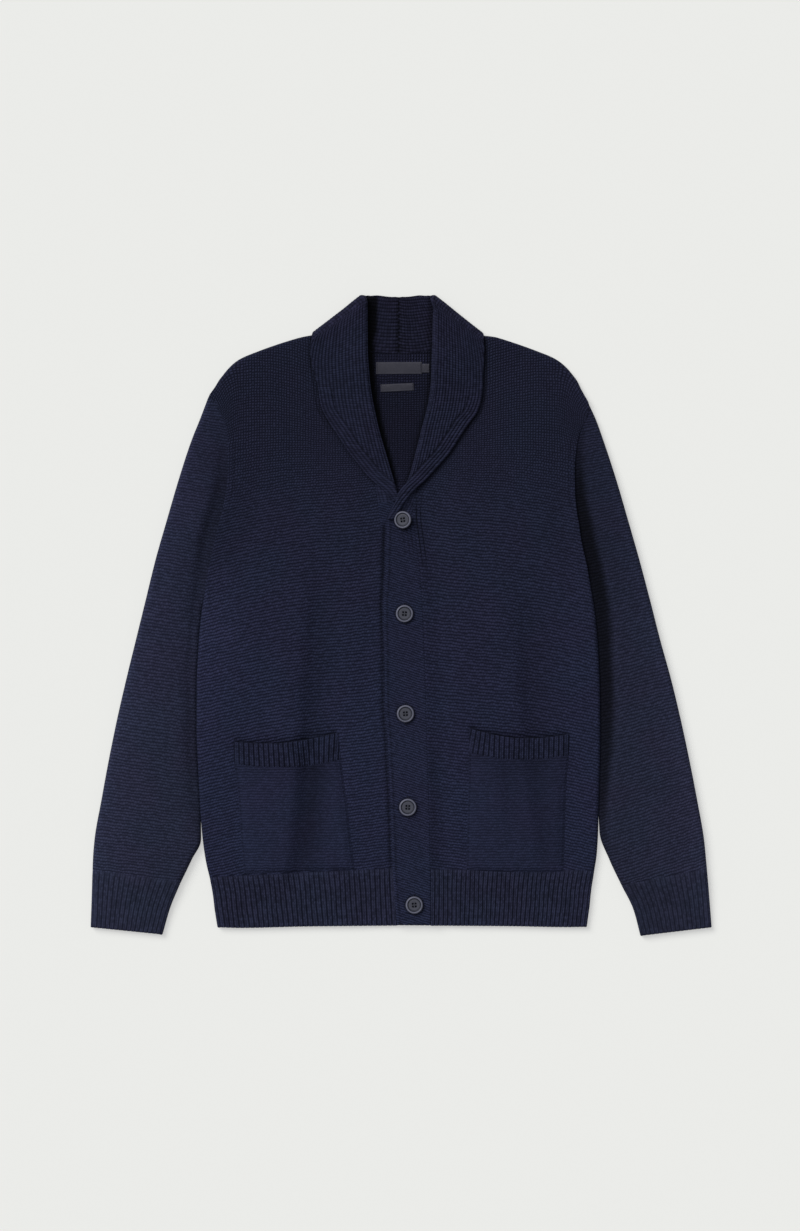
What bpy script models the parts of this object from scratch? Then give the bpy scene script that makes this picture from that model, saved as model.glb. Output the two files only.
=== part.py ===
"""Shawl collar cardigan, laid flat on its back panel with the fronts buttoned.

Every piece of cloth is a wall of knitting WALL thick. The back panel lies on the
ground plane, the fronts lie on it, the button bands on each other, the pockets on
the fronts, and the collar is a folded strip: stand and leaf joined by a roll. Each
of its halves starts at the centre-back seam, turns forward at the side of the neck,
runs down the neckline as a lapel and on down the front as the button band. Each half
is two solids that meet at the side of the neck: behind it, and from there on.

X is across the garment (wearer's left is +X), Y is up the garment, Z is up from the
ground. The tables are in millimetres; meshes are in metres.
"""

import math

import bmesh
import bpy
import numpy as np

# ---------------------------------------------------------------- driving sizes, mm
WALL = 3.0  # knitted cloth
SEAM = 0.4  # between two pieces sewn edge to edge
LEAF_AIR = 1.0  # between collar stand and leaf, inside the roll
NECK_AIR = 0.6  # between back and front layers at the neck
STEP = 3.5  # rise of the top band over the under band: WALL and 0.5 of air
FOLD_ANGLES = (0.0, 45.0, 90.0)  # sections round a folded edge, from its tip to the flat
ROLL_ANGLES = (-90.0, -45.0, 0.0, 45.0, 90.0)  # sections round the collar's roll
TURN_ANGLES = (-90.0, -54.0, -18.0, 18.0, 54.0, 90.0)  # sections round the side of the neck
STAND_WIDTH = 58.0  # collar stand at the side of the neck
LEAF_WIDTH = 74.0  # collar leaf at the side of the neck
CENTRE_BACK = -2.0  # x of the centre-back seam
BUTTON_RADIUS = 10.6
BUTTON_HEIGHT = 4.0
BUTTON_SIDES = 24
LABEL_WALL = 0.6
POCKET_GAPE = 3.0  # how far a pocket's mouth stands off the front
CENTRE = (0.5, 0.036)  # middle of the outline, moved to the origin

# One front panel, a row for each section from the neck to the hem. side: its outer
# edge (shoulder, armhole, side seam). seam: where it meets the collar or the band.
# roll: the fold of the collar, or the band's free edge. leaf: the collar's outer edge.
FRONT_COLUMNS = "name side_x side_y seam_x seam_y roll_x roll_y leaf_x leaf_y".split()
FRONT_RIGHT = [
    ("neck", -97.5, 347.4, -92.6, 343.5, -43.6, 374, -107.8, 336.0),
    ("shoulder1", -106, 342.4, -94.2, 334, -43.6, 358, -109.0, 328.5),
    ("shoulder2", -120, 339.6, -95.0, 322, -43.5, 339, -108.8, 317.5),
    ("shoulder3", -142, 333.4, -94.6, 309, -43.3, 319, -107.0, 306.5),
    ("shoulder4", -172, 323, -92.6, 295, -42.0, 299, -103.5, 293.5),
    ("shoulder5", -199, 311, -90.0, 280, -40.0, 279, -99.8, 279.0),
    ("shoulder6", -221, 288, -87.6, 266, -37.4, 262, -97.6, 263.0),
    ("tip", -234, 267, -84.6, 252, -34.0, 246, -94.2, 250.0),
    ("armhole1", -222.5, 251, -77.6, 236, -30.4, 230, -86.5, 236.0),
    ("armhole2", -212.5, 230, -67.2, 219, -26.0, 214, -75.8, 220.0),
    ("armhole3", -209.5, 205, -55.2, 202, -21.0, 197, -63.2, 200.5),
    ("armhole4", -209.3, 180, -43.0, 184.5, -16.0, 180, -50.0, 183.5),
    ("armhole5", -211.5, 155, -32.6, 167, -11.2, 164, -36.6, 167.5),
    ("armhole6", -216.5, 128, -28.8, 150, -7.0, 150, -17.5, 150.5),
    ("leaf_end", -219.6, 116, -27.2, 138, -4.0, 139.5, -8.4, 140.0),
    ("band1", -223, 104, -25.2, 118, 3.0, 120, None, None),
    ("band2", -226.2, 89, -23.6, 107, 6.8, 109, None, None),
    ("band3", -229.8, 72, -22.7, 94, 10.6, 95, None, None),
    ("band4", -235.4, 46, -22.6, 70, 15.0, 70, None, None),
    ("underarm", -243.2, 4, -23.4, 20, 18.0, 20, None, None),
    ("side1", -247.2, -40, -20.6, -25, 21.0, -25, None, None),
    ("side2", -249.2, -90, -17.6, -76, 23.0, -76, None, None),
    ("side3", -249.2, -140, -15.0, -128, 25.0, -128, None, None),
    ("side4", -247.2, -190, -12.0, -180, 26.5, -180, None, None),
    ("side5", -244.8, -235, -9.6, -228, 27.5, -228, None, None),
    ("side6", -241.6, -272, -8.0, -266, 28.0, -266, None, None),
    ("side7", -237.6, -300, -7.0, -290, 28.5, -290, None, None),
    ("hem_top", -233.0, -319.6, -6.4, -308.4, 29.0, -308.4, None, None),
]
FRONT_LEFT = [
    ("neck", 91.0, 346.8, 86.0, 343.0, 42.3, 374, 100.4, 335.0),
    ("shoulder1", 99.4, 341.6, 87.8, 333, 42.2, 358, 101.0, 327.5),
    ("shoulder2", 113.5, 339.8, 88.6, 321, 42.0, 339, 100.6, 316.5),
    ("shoulder3", 135, 333.6, 88.8, 308, 41.6, 319, 100.2, 305.5),
    ("shoulder4", 165, 323, 88.6, 294, 41.0, 299, 99.8, 292.5),
    ("shoulder5", 191, 311.5, 88.0, 280, 40.0, 280, 99.0, 279.0),
    ("shoulder6", 214.5, 287.5, 86.0, 265, 37.5, 262, 97.6, 264.0),
    ("tip", 229.5, 258, 82.0, 250, 34.0, 246, 92.4, 248.0),
    ("armhole1", 226.0, 241, 72.6, 232, 29.6, 230, 81.6, 233.0),
    ("armhole2", 219.5, 228, 62.0, 216, 25.6, 214, 70.4, 216.0),
    ("armhole3", 213.5, 205, 51.0, 199, 21.2, 197, 58.6, 198.0),
    ("armhole4", 211.3, 178, 39.2, 183, 16.8, 180, 45.4, 182.5),
    ("armhole5", 211.6, 152, 26.4, 166.5, 11.2, 164, 30.4, 166.0),
    ("armhole6", 214.0, 125, 17.4, 151.5, 0.6, 150, 15.8, 152.0),
    ("lapel1", 216.4, 112, 15.0, 141, -2.8, 140.5, 6.4, 141.0),
    ("lapel2", 218.2, 98, 14.2, 129.5, -8.6, 129, -1.4, 129.5),
    ("leaf_end", 221.2, 82, 14.4, 118, -12.8, 118, -9.0, 118.4),
    ("band1", 222.0, 78, 14.6, 116.4, -15.6, 116.2, None, None),
    ("band2", 226.0, 61, 16.8, 100, -16.4, 100, None, None),
    ("underarm", 237.2, 2, 22.6, 55, -17.6, 54, None, None),
    ("side1", 241.2, -45, 25.6, 10, -20.2, 8, None, None),
    ("side2", 243.2, -95, 28.0, -45, -19.4, -45, None, None),
    ("side3", 243.6, -140, 29.8, -100, -19.0, -100, None, None),
    ("side4", 243.0, -185, 31.2, -155, -15.6, -155, None, None),
    ("side5", 241.8, -225, 33.0, -205, -13.2, -205, None, None),
    ("side6", 240.8, -262, 34.2, -250, -11.2, -250, None, None),
    ("side7", 239.2, -290, 35.0, -285, -10.2, -285, None, None),
    ("hem_top", 236.0, -311.6, 35.4, -309.6, -9.6, -309.6, None, None),
]
# Back of the collar, a row for each section from the side of the neck to the centre.
# seam: on the back neckline. roll: the top fold. leaf: the hidden outer edge behind.
BACK_NECK_COLUMNS = "name seam_x seam_y roll_x roll_y leaf_x leaf_y".split()
BACK_NECK_RIGHT = [
    ("quarter3", -73.0, 336.5, -39.0, 386.2, -83.0, 327.5),
    ("quarter2", -51.0, 326.5, -30.0, 386.3, -58.0, 318.5),
    ("quarter1", -25.0, 321.2, -16.0, 384.6, -29.0, 314.6),
    ("centre", -2.2, 320.4, -2.2, 383.9, -2.2, 313.8),
]
BACK_NECK_LEFT = [
    ("quarter3", 66.0, 336.0, 33.0, 386.2, 76.0, 327.0),
    ("quarter2", 44.0, 326.3, 24.0, 386.3, 52.0, 318.3),
    ("quarter1", 20.0, 321.2, 11.0, 384.6, 24.0, 314.6),
    ("centre", -1.8, 320.4, -1.8, 383.9, -1.8, 313.8),
]
# The corner of the outline where each roll turns forward, and the direction in which
# the side of the neck slopes away from it.
NECK_TURN = {
    "right": dict(corner=(-49.1, 390.0), slope=(-0.795, -0.606)),
    "left": dict(corner=(42.6, 390.0), slope=(0.788, -0.615)),
}
# Outer outline of the sleeves, a row for each height.
SLEEVE_COLUMNS = "y right_x left_x".split()
SLEEVE_OUTLINE = [
    (267, -234.4, 225.0),
    (239, -245.0, 238.0),
    (214, -255.0, 247.0),
    (165, -271.0, 263.0),
    (117, -285.0, 277.0),
    (68, -299.0, 291.0),
    (19, -311.0, 304.0),
    (-30, -323.0, 316.5),
    (-79, -335.0, 330.0),
    (-127, -346.0, 341.5),
    (-176, -356.0, 352.0),
    (-225, -365.0, 361.5),
    (-274, -373.5, 370.0),
    (-298, -375.4, 372.4),
    (-323, -376.2, 374.6),
    (-347, -377.0, 376.6),
    (-380, -378.2, 379.2),
]
# Inner edge of each sleeve below the point where it leaves the body's side.
FOREARM_COLUMNS = "name right_x right_y left_x left_y".split()
FOREARM = [
    ("fork", -243.4, -272.0, 242.4, -264.0),
    ("forearm", -255.0, -298.0, 254.6, -298.0),
    ("cuff_top", -268.8, -326.6, 269.6, -329.6),
    ("cuff_middle", -281.0, -356.0, 283.6, -358.0),
    ("cuff_end", -290.6, -389.0, 292.4, -390.4),
]
SLEEVE_TILT = dict(right=0.147, left=0.20)  # rise of a section from its inner to its outer edge, per mm across
# Hem rib, lower edge, a row for each column of the body from side to band.
HEM_COLUMNS = "share right_y left_y".split()
HEM_EDGE = [(0.0, -380.2, -379.6), (0.12, -381.0, -380.0), (0.5, -379.0, -378.6), (1.0, -377.7, -377.7)]
HEM_CORNER = dict(right=-223.4, left=226.8)
HEM_SEAM = dict(right=-3.6, left=35.6)
HEM_FREE = dict(right=30.0, left=-4.6)
# Patch pockets, a row for each section from the mouth down; sag is how far the row's
# middle hangs below its ends.
POCKET_COLUMNS = "name right_x0 right_x1 right_y0 right_y1 right_sag left_x0 left_x1 left_y0 left_y1 left_sag".split()
POCKET_ROWS = [
    ("mouth", -203.0, -77.0, -153.5, -142.0, 7.0, 84.4, 205.0, -137.5, -144.5, 8.5),
    ("border_end", -202.4, -73.0, -180.0, -175.0, 6.5, 83.4, 204.6, -166.5, -169.0, 7.0),
    ("upper", -198.4, -68.8, -210.0, -208.0, 3.0, 83.0, 201.8, -200.0, -201.0, 3.0),
    ("middle", -196.0, -64.4, -243.0, -241.0, 1.0, 82.0, 200.2, -236.0, -236.0, 1.0),
    ("lower", -194.0, -61.0, -276.0, -273.0, 0.0, 81.0, 199.2, -274.0, -274.0, 0.0),
    ("bottom", -190.6, -56.6, -314.4, -308.6, 0.0, 80.4, 198.2, -309.6, -312.4, 1.5),
]
# Soft swells of the upper layer, a row for each: where it is, its reach and height.
SWELL_COLUMNS = "name x y reach_x reach_y height".split()
SWELLS = [
    ("chest_right", -150, 190, 62, 80, 1.3),
    ("chest_left", 150, 185, 62, 80, 1.4),
    ("waist_right", -130, -20, 80, 110, 1.5),
    ("waist_left", 140, -40, 80, 120, 1.3),
    ("hip_right", -120, -255, 90, 60, 1.2),
    ("hip_left", 130, -250, 80, 60, 1.3),
    ("upper_sleeve_right", -255, 120, 26, 100, 1.2),
    ("upper_sleeve_left", 252, 110, 26, 100, 1.2),
    ("elbow_right", -295, -90, 36, 90, 1.5),
    ("elbow_left", 292, -100, 36, 90, 1.4),
    ("forearm_right", -318, -260, 30, 70, 1.1),
    ("forearm_left", 318, -265, 30, 70, 1.1),
]
# Buttons: centre, and how far each leans about Y, in degrees.
BUTTON_COLUMNS = "name x y lean".split()
BUTTONS = [
    ("button_1", 3.0, 116.5, 14.0),
    ("button_2", 4.6, 2.3, 0.0),
    ("button_3", 5.8, -119.6, 0.0),
    ("button_4", 8.6, -233.6, 0.0),
    ("button_5", 16.5, -352.6, 0.0),
]
# Labels on the inside of the back: centre, size and tilt in degrees.
LABEL_COLUMNS = "name x y width height tilt".split()
LABELS = [
    ("neck_label", -2.2, 301.8, 55.6, 14.2, 0.3),
    ("size_tab", 30.4, 301.6, 8.4, 10.4, 0.0),
    ("care_label", -4.4, 278.2, 40.0, 8.8, 2.6),
]

# colour, roughness
NAVY = ((0.010, 0.013, 0.033), 0.92)
NAVY_RIB = ((0.011, 0.014, 0.036), 0.92)
NAVY_DEEP = ((0.008, 0.010, 0.026), 0.94)
SLATE = ((0.075, 0.085, 0.115), 0.50)
LABEL_GREY = ((0.060, 0.058, 0.078), 0.80)


# ---------------------------------------------------------------- tables and heights
def table(columns, rows):
    """The rows as a dict of numpy columns; None becomes nan."""
    out = {}
    for i, name in enumerate(columns):
        values = [row[i] for row in rows]
        out[name] = values if isinstance(values[0], str) else np.array([np.nan if v is None else v for v in values], float)
    return out


def smooth(t):
    t = np.clip(t, 0.0, 1.0)
    return t * t * (3.0 - 2.0 * t)


def through(xs, ys, x):
    """A monotone cubic through (xs, ys), read at x."""
    xs, ys = np.asarray(xs, float), np.asarray(ys, float)
    if xs[0] > xs[-1]:
        xs, ys = xs[::-1], ys[::-1]
    h = np.diff(xs)
    d = np.diff(ys) / h
    m = np.zeros_like(ys)
    m[0], m[-1] = d[0], d[-1]
    for i in range(1, len(xs) - 1):
        if d[i - 1] * d[i] > 0:
            w1, w2 = 2 * h[i] + h[i - 1], h[i] + 2 * h[i - 1]
            m[i] = (w1 + w2) / (w1 / d[i - 1] + w2 / d[i])
    x = np.clip(np.asarray(x, float), xs[0], xs[-1])
    k = np.clip(np.searchsorted(xs, x) - 1, 0, len(xs) - 2)
    t = (x - xs[k]) / h[k]
    return (
        (2 * t**3 - 3 * t**2 + 1) * ys[k]
        + (t**3 - 2 * t**2 + t) * h[k] * m[k]
        + (-2 * t**3 + 3 * t**2) * ys[k + 1]
        + (t**3 - t**2) * h[k] * m[k + 1]
    )


SIDES = {"right": table(FRONT_COLUMNS, FRONT_RIGHT), "left": table(FRONT_COLUMNS, FRONT_LEFT)}
NECKS = {"right": table(BACK_NECK_COLUMNS, BACK_NECK_RIGHT), "left": table(BACK_NECK_COLUMNS, BACK_NECK_LEFT)}
OUTLINE = table(SLEEVE_COLUMNS, SLEEVE_OUTLINE)
LOWER_ARM = table(FOREARM_COLUMNS, FOREARM)
POCKET = table(POCKET_COLUMNS, POCKET_ROWS)
SWELL = table(SWELL_COLUMNS, SWELLS)
HEM = table(HEM_COLUMNS, HEM_EDGE)
SIGN = {"right": -1.0, "left": 1.0}
ROLL_IN = LEAF_AIR / 2.0
ROLL_OUT = ROLL_IN + WALL


def lift(x, y):
    """How far the hidden collar leaf holds the back of the garment off the ground."""
    ax = np.abs(np.asarray(x, float) + 3.5)
    edge = 313.0 + 27.0 * np.clip(ax / 102.0, 0.0, 1.0) ** 1.6
    away = np.hypot(np.maximum(ax - 104.0, 0.0), np.maximum(edge - np.asarray(y, float), 0.0))
    return (WALL + LEAF_AIR) * (1.0 - smooth((away - 3.0) / 52.0))


def air(x, y):
    """Air between the back layer and the front layer."""
    x, y = np.asarray(x, float), np.asarray(y, float)
    near_neck = smooth((np.hypot((x + 3.5) / 1.05, y - 330.0) - 110.0) / 90.0)
    swell = 0.5 * near_neck
    for sx, sy, rx, ry, height in zip(SWELL["x"], SWELL["y"], SWELL["reach_x"], SWELL["reach_y"], SWELL["height"]):
        swell = swell + height * np.exp(-(((x - sx) / rx) ** 2) - ((y - sy) / ry) ** 2)
    return NECK_AIR + swell * near_neck


def band_step(x, y):
    """Rise of the left front, its band and lapel, over the right front's band."""
    x, y = np.asarray(x, float), np.asarray(y, float)
    right = SIDES["right"]
    rows = np.isnan(right["leaf_x"])
    edge = through(right["roll_y"][rows][::-1], right["roll_x"][rows][::-1], y)
    step = STEP * (1.0 - smooth((x - edge - 4.0) / 24.0)) * smooth((184.0 - y) / 34.0)
    hump = 4.7 * np.exp(-(((x + 4.5) / 15.0) ** 2) - ((y - 144.5) / 14.0) ** 2)
    return step + hump


def front_z(x, y, side):
    """Underside of the front layer."""
    z = lift(x, y) + WALL + air(x, y)
    return z + band_step(x, y) if side == "left" else z


# ---------------------------------------------------------------- sheets into walls
class Sheet:
    """Patches of cloth, each a grid of points on its outer and its inner skin. Points
    that coincide are one point, and every free edge is closed by a rim."""

    def __init__(self):
        self.keys, self.outer, self.inner, self.quads = {}, [], [], []

    def point(self, out, inn):
        key = tuple(np.round(np.concatenate([out, inn]), 3))
        if key not in self.keys:
            self.keys[key] = len(self.outer)
            self.outer.append(out)
            self.inner.append(inn)
        return self.keys[key]

    def patch(self, outer, inner):
        ids = [[self.point(o, i) for o, i in zip(ro, ri)] for ro, ri in zip(outer, inner)]
        for a, b in zip(ids[:-1], ids[1:]):
            for k in range(len(a) - 1):
                quad = [a[k], a[k + 1], b[k + 1], b[k]]
                quad = [v for n, v in enumerate(quad) if v != quad[n - 1]]
                if len(set(quad)) > 2:
                    self.quads.append(quad)

    def solid(self, name, look):
        n = len(self.outer)
        faces = [list(q) for q in self.quads] + [[v + n for v in reversed(q)] for q in self.quads]
        edges = {}
        for quad in self.quads:
            for a, b in zip(quad, quad[1:] + quad[:1]):
                edges.setdefault((min(a, b), max(a, b)), []).append((a, b))
        for uses in edges.values():
            if len(uses) == 1:
                a, b = uses[0]
                faces.append([b, a, a + n, b + n])
        return solid(name, np.array(self.outer + self.inner), faces, look)


def solid(name, points, faces, look):
    """A closed mesh object from points in millimetres, its faces turned outward."""
    mesh = bpy.data.meshes.new(name)
    points = (points - np.array([CENTRE[0], CENTRE[1], 0.0])) * 0.001
    mesh.from_pydata([tuple(p) for p in points], [], faces)
    work = bmesh.new()
    work.from_mesh(mesh)
    bmesh.ops.recalc_face_normals(work, faces=work.faces[:])
    bmesh.ops.triangulate(work, faces=work.faces[:], quad_method="SHORT_EDGE", ngon_method="EAR_CLIP")
    if work.calc_volume(signed=True) < 0:
        bmesh.ops.reverse_faces(work, faces=work.faces[:])
    work.to_mesh(mesh)
    work.free()
    mesh.shade_smooth()
    mesh.set_sharp_from_angle(angle=math.radians(50))
    obj = bpy.data.objects.new(name, mesh)
    bpy.context.scene.collection.objects.link(obj)
    colour, roughness = look
    material = bpy.data.materials.new(name)
    material.use_nodes = True
    shader = material.node_tree.nodes["Principled BSDF"]
    shader.inputs["Base Color"].default_value = (*colour, 1.0)
    shader.inputs["Roughness"].default_value = roughness
    shader.inputs["Metallic"].default_value = 0.0
    material.diffuse_color = (*colour, 1.0)
    mesh.materials.append(material)
    return obj


def inward(points, sign):
    """Unit normals of a polyline in plan, turned toward the garment's middle: the
    line runs from top to bottom, and sign is -1 on the wearer's right."""
    tangent = np.gradient(points, axis=0)
    tangent /= np.linalg.norm(tangent, axis=1)[:, None]
    return sign * np.stack([tangent[:, 1], -tangent[:, 0]], axis=1)


def at(xy, z):
    return np.array([xy[0], xy[1], z], float)


def fold(tip, normal, height, wall, layer, gap):
    """Sections round a folded edge, from its tip to where it is flat. height is the
    air inside; layer is -1 for the lower cloth, 1 for the upper; gap opens its tip."""
    radius, hollow = wall + height / 2.0, height / 2.0
    outs, ins = [], []
    base = float(lift(*tip))
    for angle in FOLD_ANGLES:
        a = math.radians(angle)
        rise = gap if angle == 0.0 else 0.0
        for bag, r in ((outs, radius), (ins, hollow)):
            plan = tip + normal * (radius - r * math.cos(a))
            bag.append(at(plan, base + radius + layer * (r * math.sin(a) + rise)))
    return outs, ins


def flat(xy, layer, wall=WALL, extra=0.0):
    """The outer and inner points of one layer at a place in plan."""
    base = float(lift(*xy)) + extra
    if layer < 0:
        return at(xy, base), at(xy, base + wall)
    z = base + WALL + float(air(*xy))
    return at(xy, z + wall), at(xy, z)


# ---------------------------------------------------------------- body panels
def edge_line(side):
    s = SIDES[side]
    return np.stack([s["side_x"], s["side_y"]], axis=1)


def is_folded(side):
    """Which rows of a front end in a folded edge: the shoulder and the side seam."""
    names = SIDES[side]["name"]
    tip, arm = names.index("tip"), names.index("underarm")
    return [k <= tip - 1 or k >= arm for k in range(len(names))]


def panel_rows(edge, ends, folded, sign, layer, shares, side=None):
    """Grids of a panel: each row runs from the edge to its end."""
    normals = inward(edge, sign)
    outers, inners = [], []
    for k, (tip, end) in enumerate(zip(edge, ends)):
        normal = normals[k]
        height = float(air(*(tip + normal * 5.0)))
        radius = WALL + height / 2.0
        if folded[k]:
            out, inn = fold(tip, normal, height, WALL, layer, SEAM / 2.0)
        else:
            out, inn = [], []
            for angle in FOLD_ANGLES:
                xy = tip + normal * radius * (1.0 - math.cos(math.radians(angle)))
                extra = band_step(*xy) if side == "left" and layer > 0 else 0.0
                o, i = flat(xy, layer)
                out.append(o + [0, 0, extra])
                inn.append(i + [0, 0, extra])
        start = tip + normal * radius
        for share in shares:
            xy = start + (end - start) * share
            extra = float(band_step(*xy)) if side == "left" and layer > 0 else 0.0
            o, i = flat(xy, layer)
            out.append(o + [0, 0, extra])
            inn.append(i + [0, 0, extra])
        outers.append(out)
        inners.append(inn)
    return outers, inners


def front(side):
    s = SIDES[side]
    sign = SIGN[side]
    ends = np.stack([s["seam_x"] + sign * SEAM, s["seam_y"]], axis=1)
    shares = (0.2, 0.42, 0.64, 0.8, 0.9, 1.0)
    sheet = Sheet()
    sheet.patch(*panel_rows(edge_line(side), ends, is_folded(side), sign, 1, shares, side))
    return sheet.solid(f"front_{side}", NAVY)


def back():
    """Both halves of the back, joined down the middle below the neckline."""
    sheet = Sheet()
    for side, sign in SIGN.items():
        edge = edge_line(side)
        neck, s = NECKS[side], SIDES[side]
        slope = np.array(NECK_TURN[side]["slope"])
        start = turn_axis(side) + slope * STAND_WIDTH
        neckline = [np.array([start[0] + sign * 0.6, start[1] - 1.4])]
        neckline += [np.array([x, y]) - [0.0, SEAM] for x, y in zip(neck["seam_x"], neck["seam_y"])]
        neckline[-1][0] = CENTRE_BACK
        down = [318.0 - SEAM - 58.0 * t for t in (0.28, 0.62, 1.0)]
        ends = neckline + [np.array([CENTRE_BACK, y]) for y in down]
        left, right = SIDES["left"], SIDES["right"]
        for k in range(len(ends), len(edge)):
            middle = 0.5 * (left["side_y"][k] + right["side_y"][k])
            ends.append(np.array([CENTRE_BACK, middle]))
        shares = (0.3, 0.6, 0.8, 1.0)
        outer, inner = panel_rows(edge, ends, is_folded(side), sign, -1, shares)
        sheet.patch(outer, inner)
    return sheet.solid("back", NAVY_DEEP)


def hem_rows(side, layer, shares, inner_x):
    """The rib under a panel: its top, middle and lower edge."""
    s, sign = SIDES[side], SIGN[side]
    top_tip = np.array([s["side_x"][-1], s["side_y"][-1]])
    low_tip = np.array([HEM_CORNER[side], HEM[f"{side}_y"][0]])
    top_end = np.array([inner_x[0], s["seam_y"][-1] if layer > 0 else 0.5 * (SIDES["left"]["side_y"][-1] + SIDES["right"]["side_y"][-1])])
    low_end = np.array([inner_x[1], HEM[f"{side}_y"][-1]])
    tips, ends = [], []
    for t in (0.0, 0.45, 1.0):
        tips.append(top_tip + (low_tip - top_tip) * t - [0.0, SEAM * (1.0 - t)])
        ends.append(top_end + (low_end - top_end) * t - [0.0, SEAM * (1.0 - t)])
    outer, inner = panel_rows(np.array(tips), ends, [True] * 3, sign, layer, shares, side)
    for skin in (outer, inner):
        for k, t in enumerate((0.0, 0.45, 1.0)):
            for n, p in enumerate(skin[k]):
                if n >= len(FOLD_ANGLES) - 1:
                    share = (p[0] - tips[k][0]) / (ends[k][0] - tips[k][0])
                    straight = tips[k][1] + (ends[k][1] - tips[k][1]) * share
                    p[1] += t * (float(through(HEM["share"], HEM[f"{side}_y"], share)) - straight) * (t == 1.0)
    return outer, inner


def hem_front(side):
    s, sign = SIDES[side], SIGN[side]
    sheet = Sheet()
    ends = (s["seam_x"][-1] + sign * SEAM, HEM_SEAM[side] + sign * SEAM)
    sheet.patch(*hem_rows(side, 1, (0.12, 0.3, 0.55, 0.8, 1.0), ends))
    return sheet.solid(f"hem_rib_front_{side}", NAVY_RIB)


def hem_back():
    sheet = Sheet()
    for side in SIGN:
        sheet.patch(*hem_rows(side, -1, (0.12, 0.5, 1.0), (CENTRE_BACK, CENTRE_BACK)))
    return sheet.solid("hem_rib_back", NAVY_RIB)


# ---------------------------------------------------------------- sleeves
def sleeve_lines(side):
    """Inner and outer edge of a sleeve, row by row, and how many rows are open to the
    body: these end on the armhole seam."""
    s, sign = SIDES[side], SIGN[side]
    names = s["name"]
    tip, arm, low = names.index("tip"), names.index("underarm"), names.index("side5")
    hole = np.stack([s["side_x"], s["side_y"]], axis=1)[tip : low + 1]
    hole[:, 0] += sign * (SEAM + 0.1)
    first = hole[0] + (hole[1] - hole[0]) * (0.36 if side == "right" else 0.5)
    inner = [first, *hole[1:]]
    for x, y in zip(LOWER_ARM[f"{side}_x"][:3], LOWER_ARM[f"{side}_y"][:3]):
        inner.append(np.array([x, y]))
    inner = np.array(inner)
    outer = []
    for x, y in inner:
        oy = y
        for _ in range(12):
            ox = float(through(OUTLINE["y"], OUTLINE[f"{side}_x"], oy))
            oy = y + SLEEVE_TILT[side] * abs(ox - x)
        outer.append([ox, oy])
    return inner, np.array(outer), arm - tip


def tube(name, inner, outer, open_rows, sign, look):
    """A flattened tube. Both layers are folded at the outer edge; at the inner edge
    they are folded too, past the rows that are open to the body."""
    out_normals = inward(outer, sign)
    in_normals = -inward(inner, sign)
    sheet = Sheet()
    for layer in (-1, 1):
        outers, inners = [], []
        for k, (tip, end) in enumerate(zip(outer, inner)):
            width = float(np.linalg.norm(end - tip))
            height = float(air(*(0.5 * (tip + end))))
            height = min(height, 2.0 * (width - 0.6 - WALL)) if k < open_rows else height
            radius = WALL + height / 2.0
            across = (end - tip) / width
            normal = out_normals[k] if width > 25.0 else across
            out, inn = fold(tip, normal, height, WALL, layer, 0.0)
            start = tip + normal * radius
            if k < open_rows:
                closing = end
            else:
                closing = end + in_normals[k] * radius
            for share in (0.3, 0.7, 1.0):
                xy = start + (closing - start) * share
                blend = smooth(min(share, 1.0 - share) * width / 22.0) if k >= open_rows else smooth(share * width / 22.0)
                depth = height + (float(air(*xy)) - height) * float(blend)
                base = float(lift(*xy))
                low, high = (base, base + WALL) if layer < 0 else (base + 2 * WALL + depth, base + WALL + depth)
                out.append(at(xy, low))
                inn.append(at(xy, high))
            if k < open_rows:
                for _ in FOLD_ANGLES[1:]:
                    out.append(out[-1])
                    inn.append(inn[-1])
            else:
                o, i = fold(end, in_normals[k], height, WALL, layer, 0.0)
                out += o[::-1][1:]
                inn += i[::-1][1:]
            outers.append(out)
            inners.append(inn)
        sheet.patch(outers, inners)
    return sheet.solid(name, look)


def sleeve(side):
    inner, outer, open_rows = sleeve_lines(side)
    return tube(f"sleeve_{side}", inner, outer, open_rows, SIGN[side], NAVY)


def cuff(side):
    inner, outer, _ = sleeve_lines(side)
    top_in, top_out = inner[-1], outer[-1]
    down = np.array([0.0, -SEAM])
    low_in = np.array([LOWER_ARM[f"{side}_x"][-1], LOWER_ARM[f"{side}_y"][-1]])
    mid_in = np.array([LOWER_ARM[f"{side}_x"][-2], LOWER_ARM[f"{side}_y"][-2]])
    low_out = np.array([OUTLINE[f"{side}_x"][-1], -379.6])
    mid_y = 0.5 * (top_out[1] + low_out[1])
    mid_out = np.array([float(through(OUTLINE["y"], OUTLINE[f"{side}_x"], mid_y)), mid_y])
    rows_in = np.array([top_in + down, mid_in, low_in])
    rows_out = np.array([top_out + down, mid_out, low_out])
    return tube(f"cuff_{side}", rows_in, rows_out, 0, SIGN[side], NAVY_RIB)


# ---------------------------------------------------------------- collar and bands
def turn_axis(side):
    """Where the roll turns forward at the side of the neck: the outline's corner,
    moved in by the outer radius of the turn."""
    corner, slope = np.array(NECK_TURN[side]["corner"]), np.array(NECK_TURN[side]["slope"])
    normal = np.array([-slope[1], slope[0]]) * -SIGN[side]
    normal = normal if normal[1] > 0 else -normal
    return corner - normal * (2.0 * ROLL_OUT + NECK_AIR / 2.0)


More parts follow.
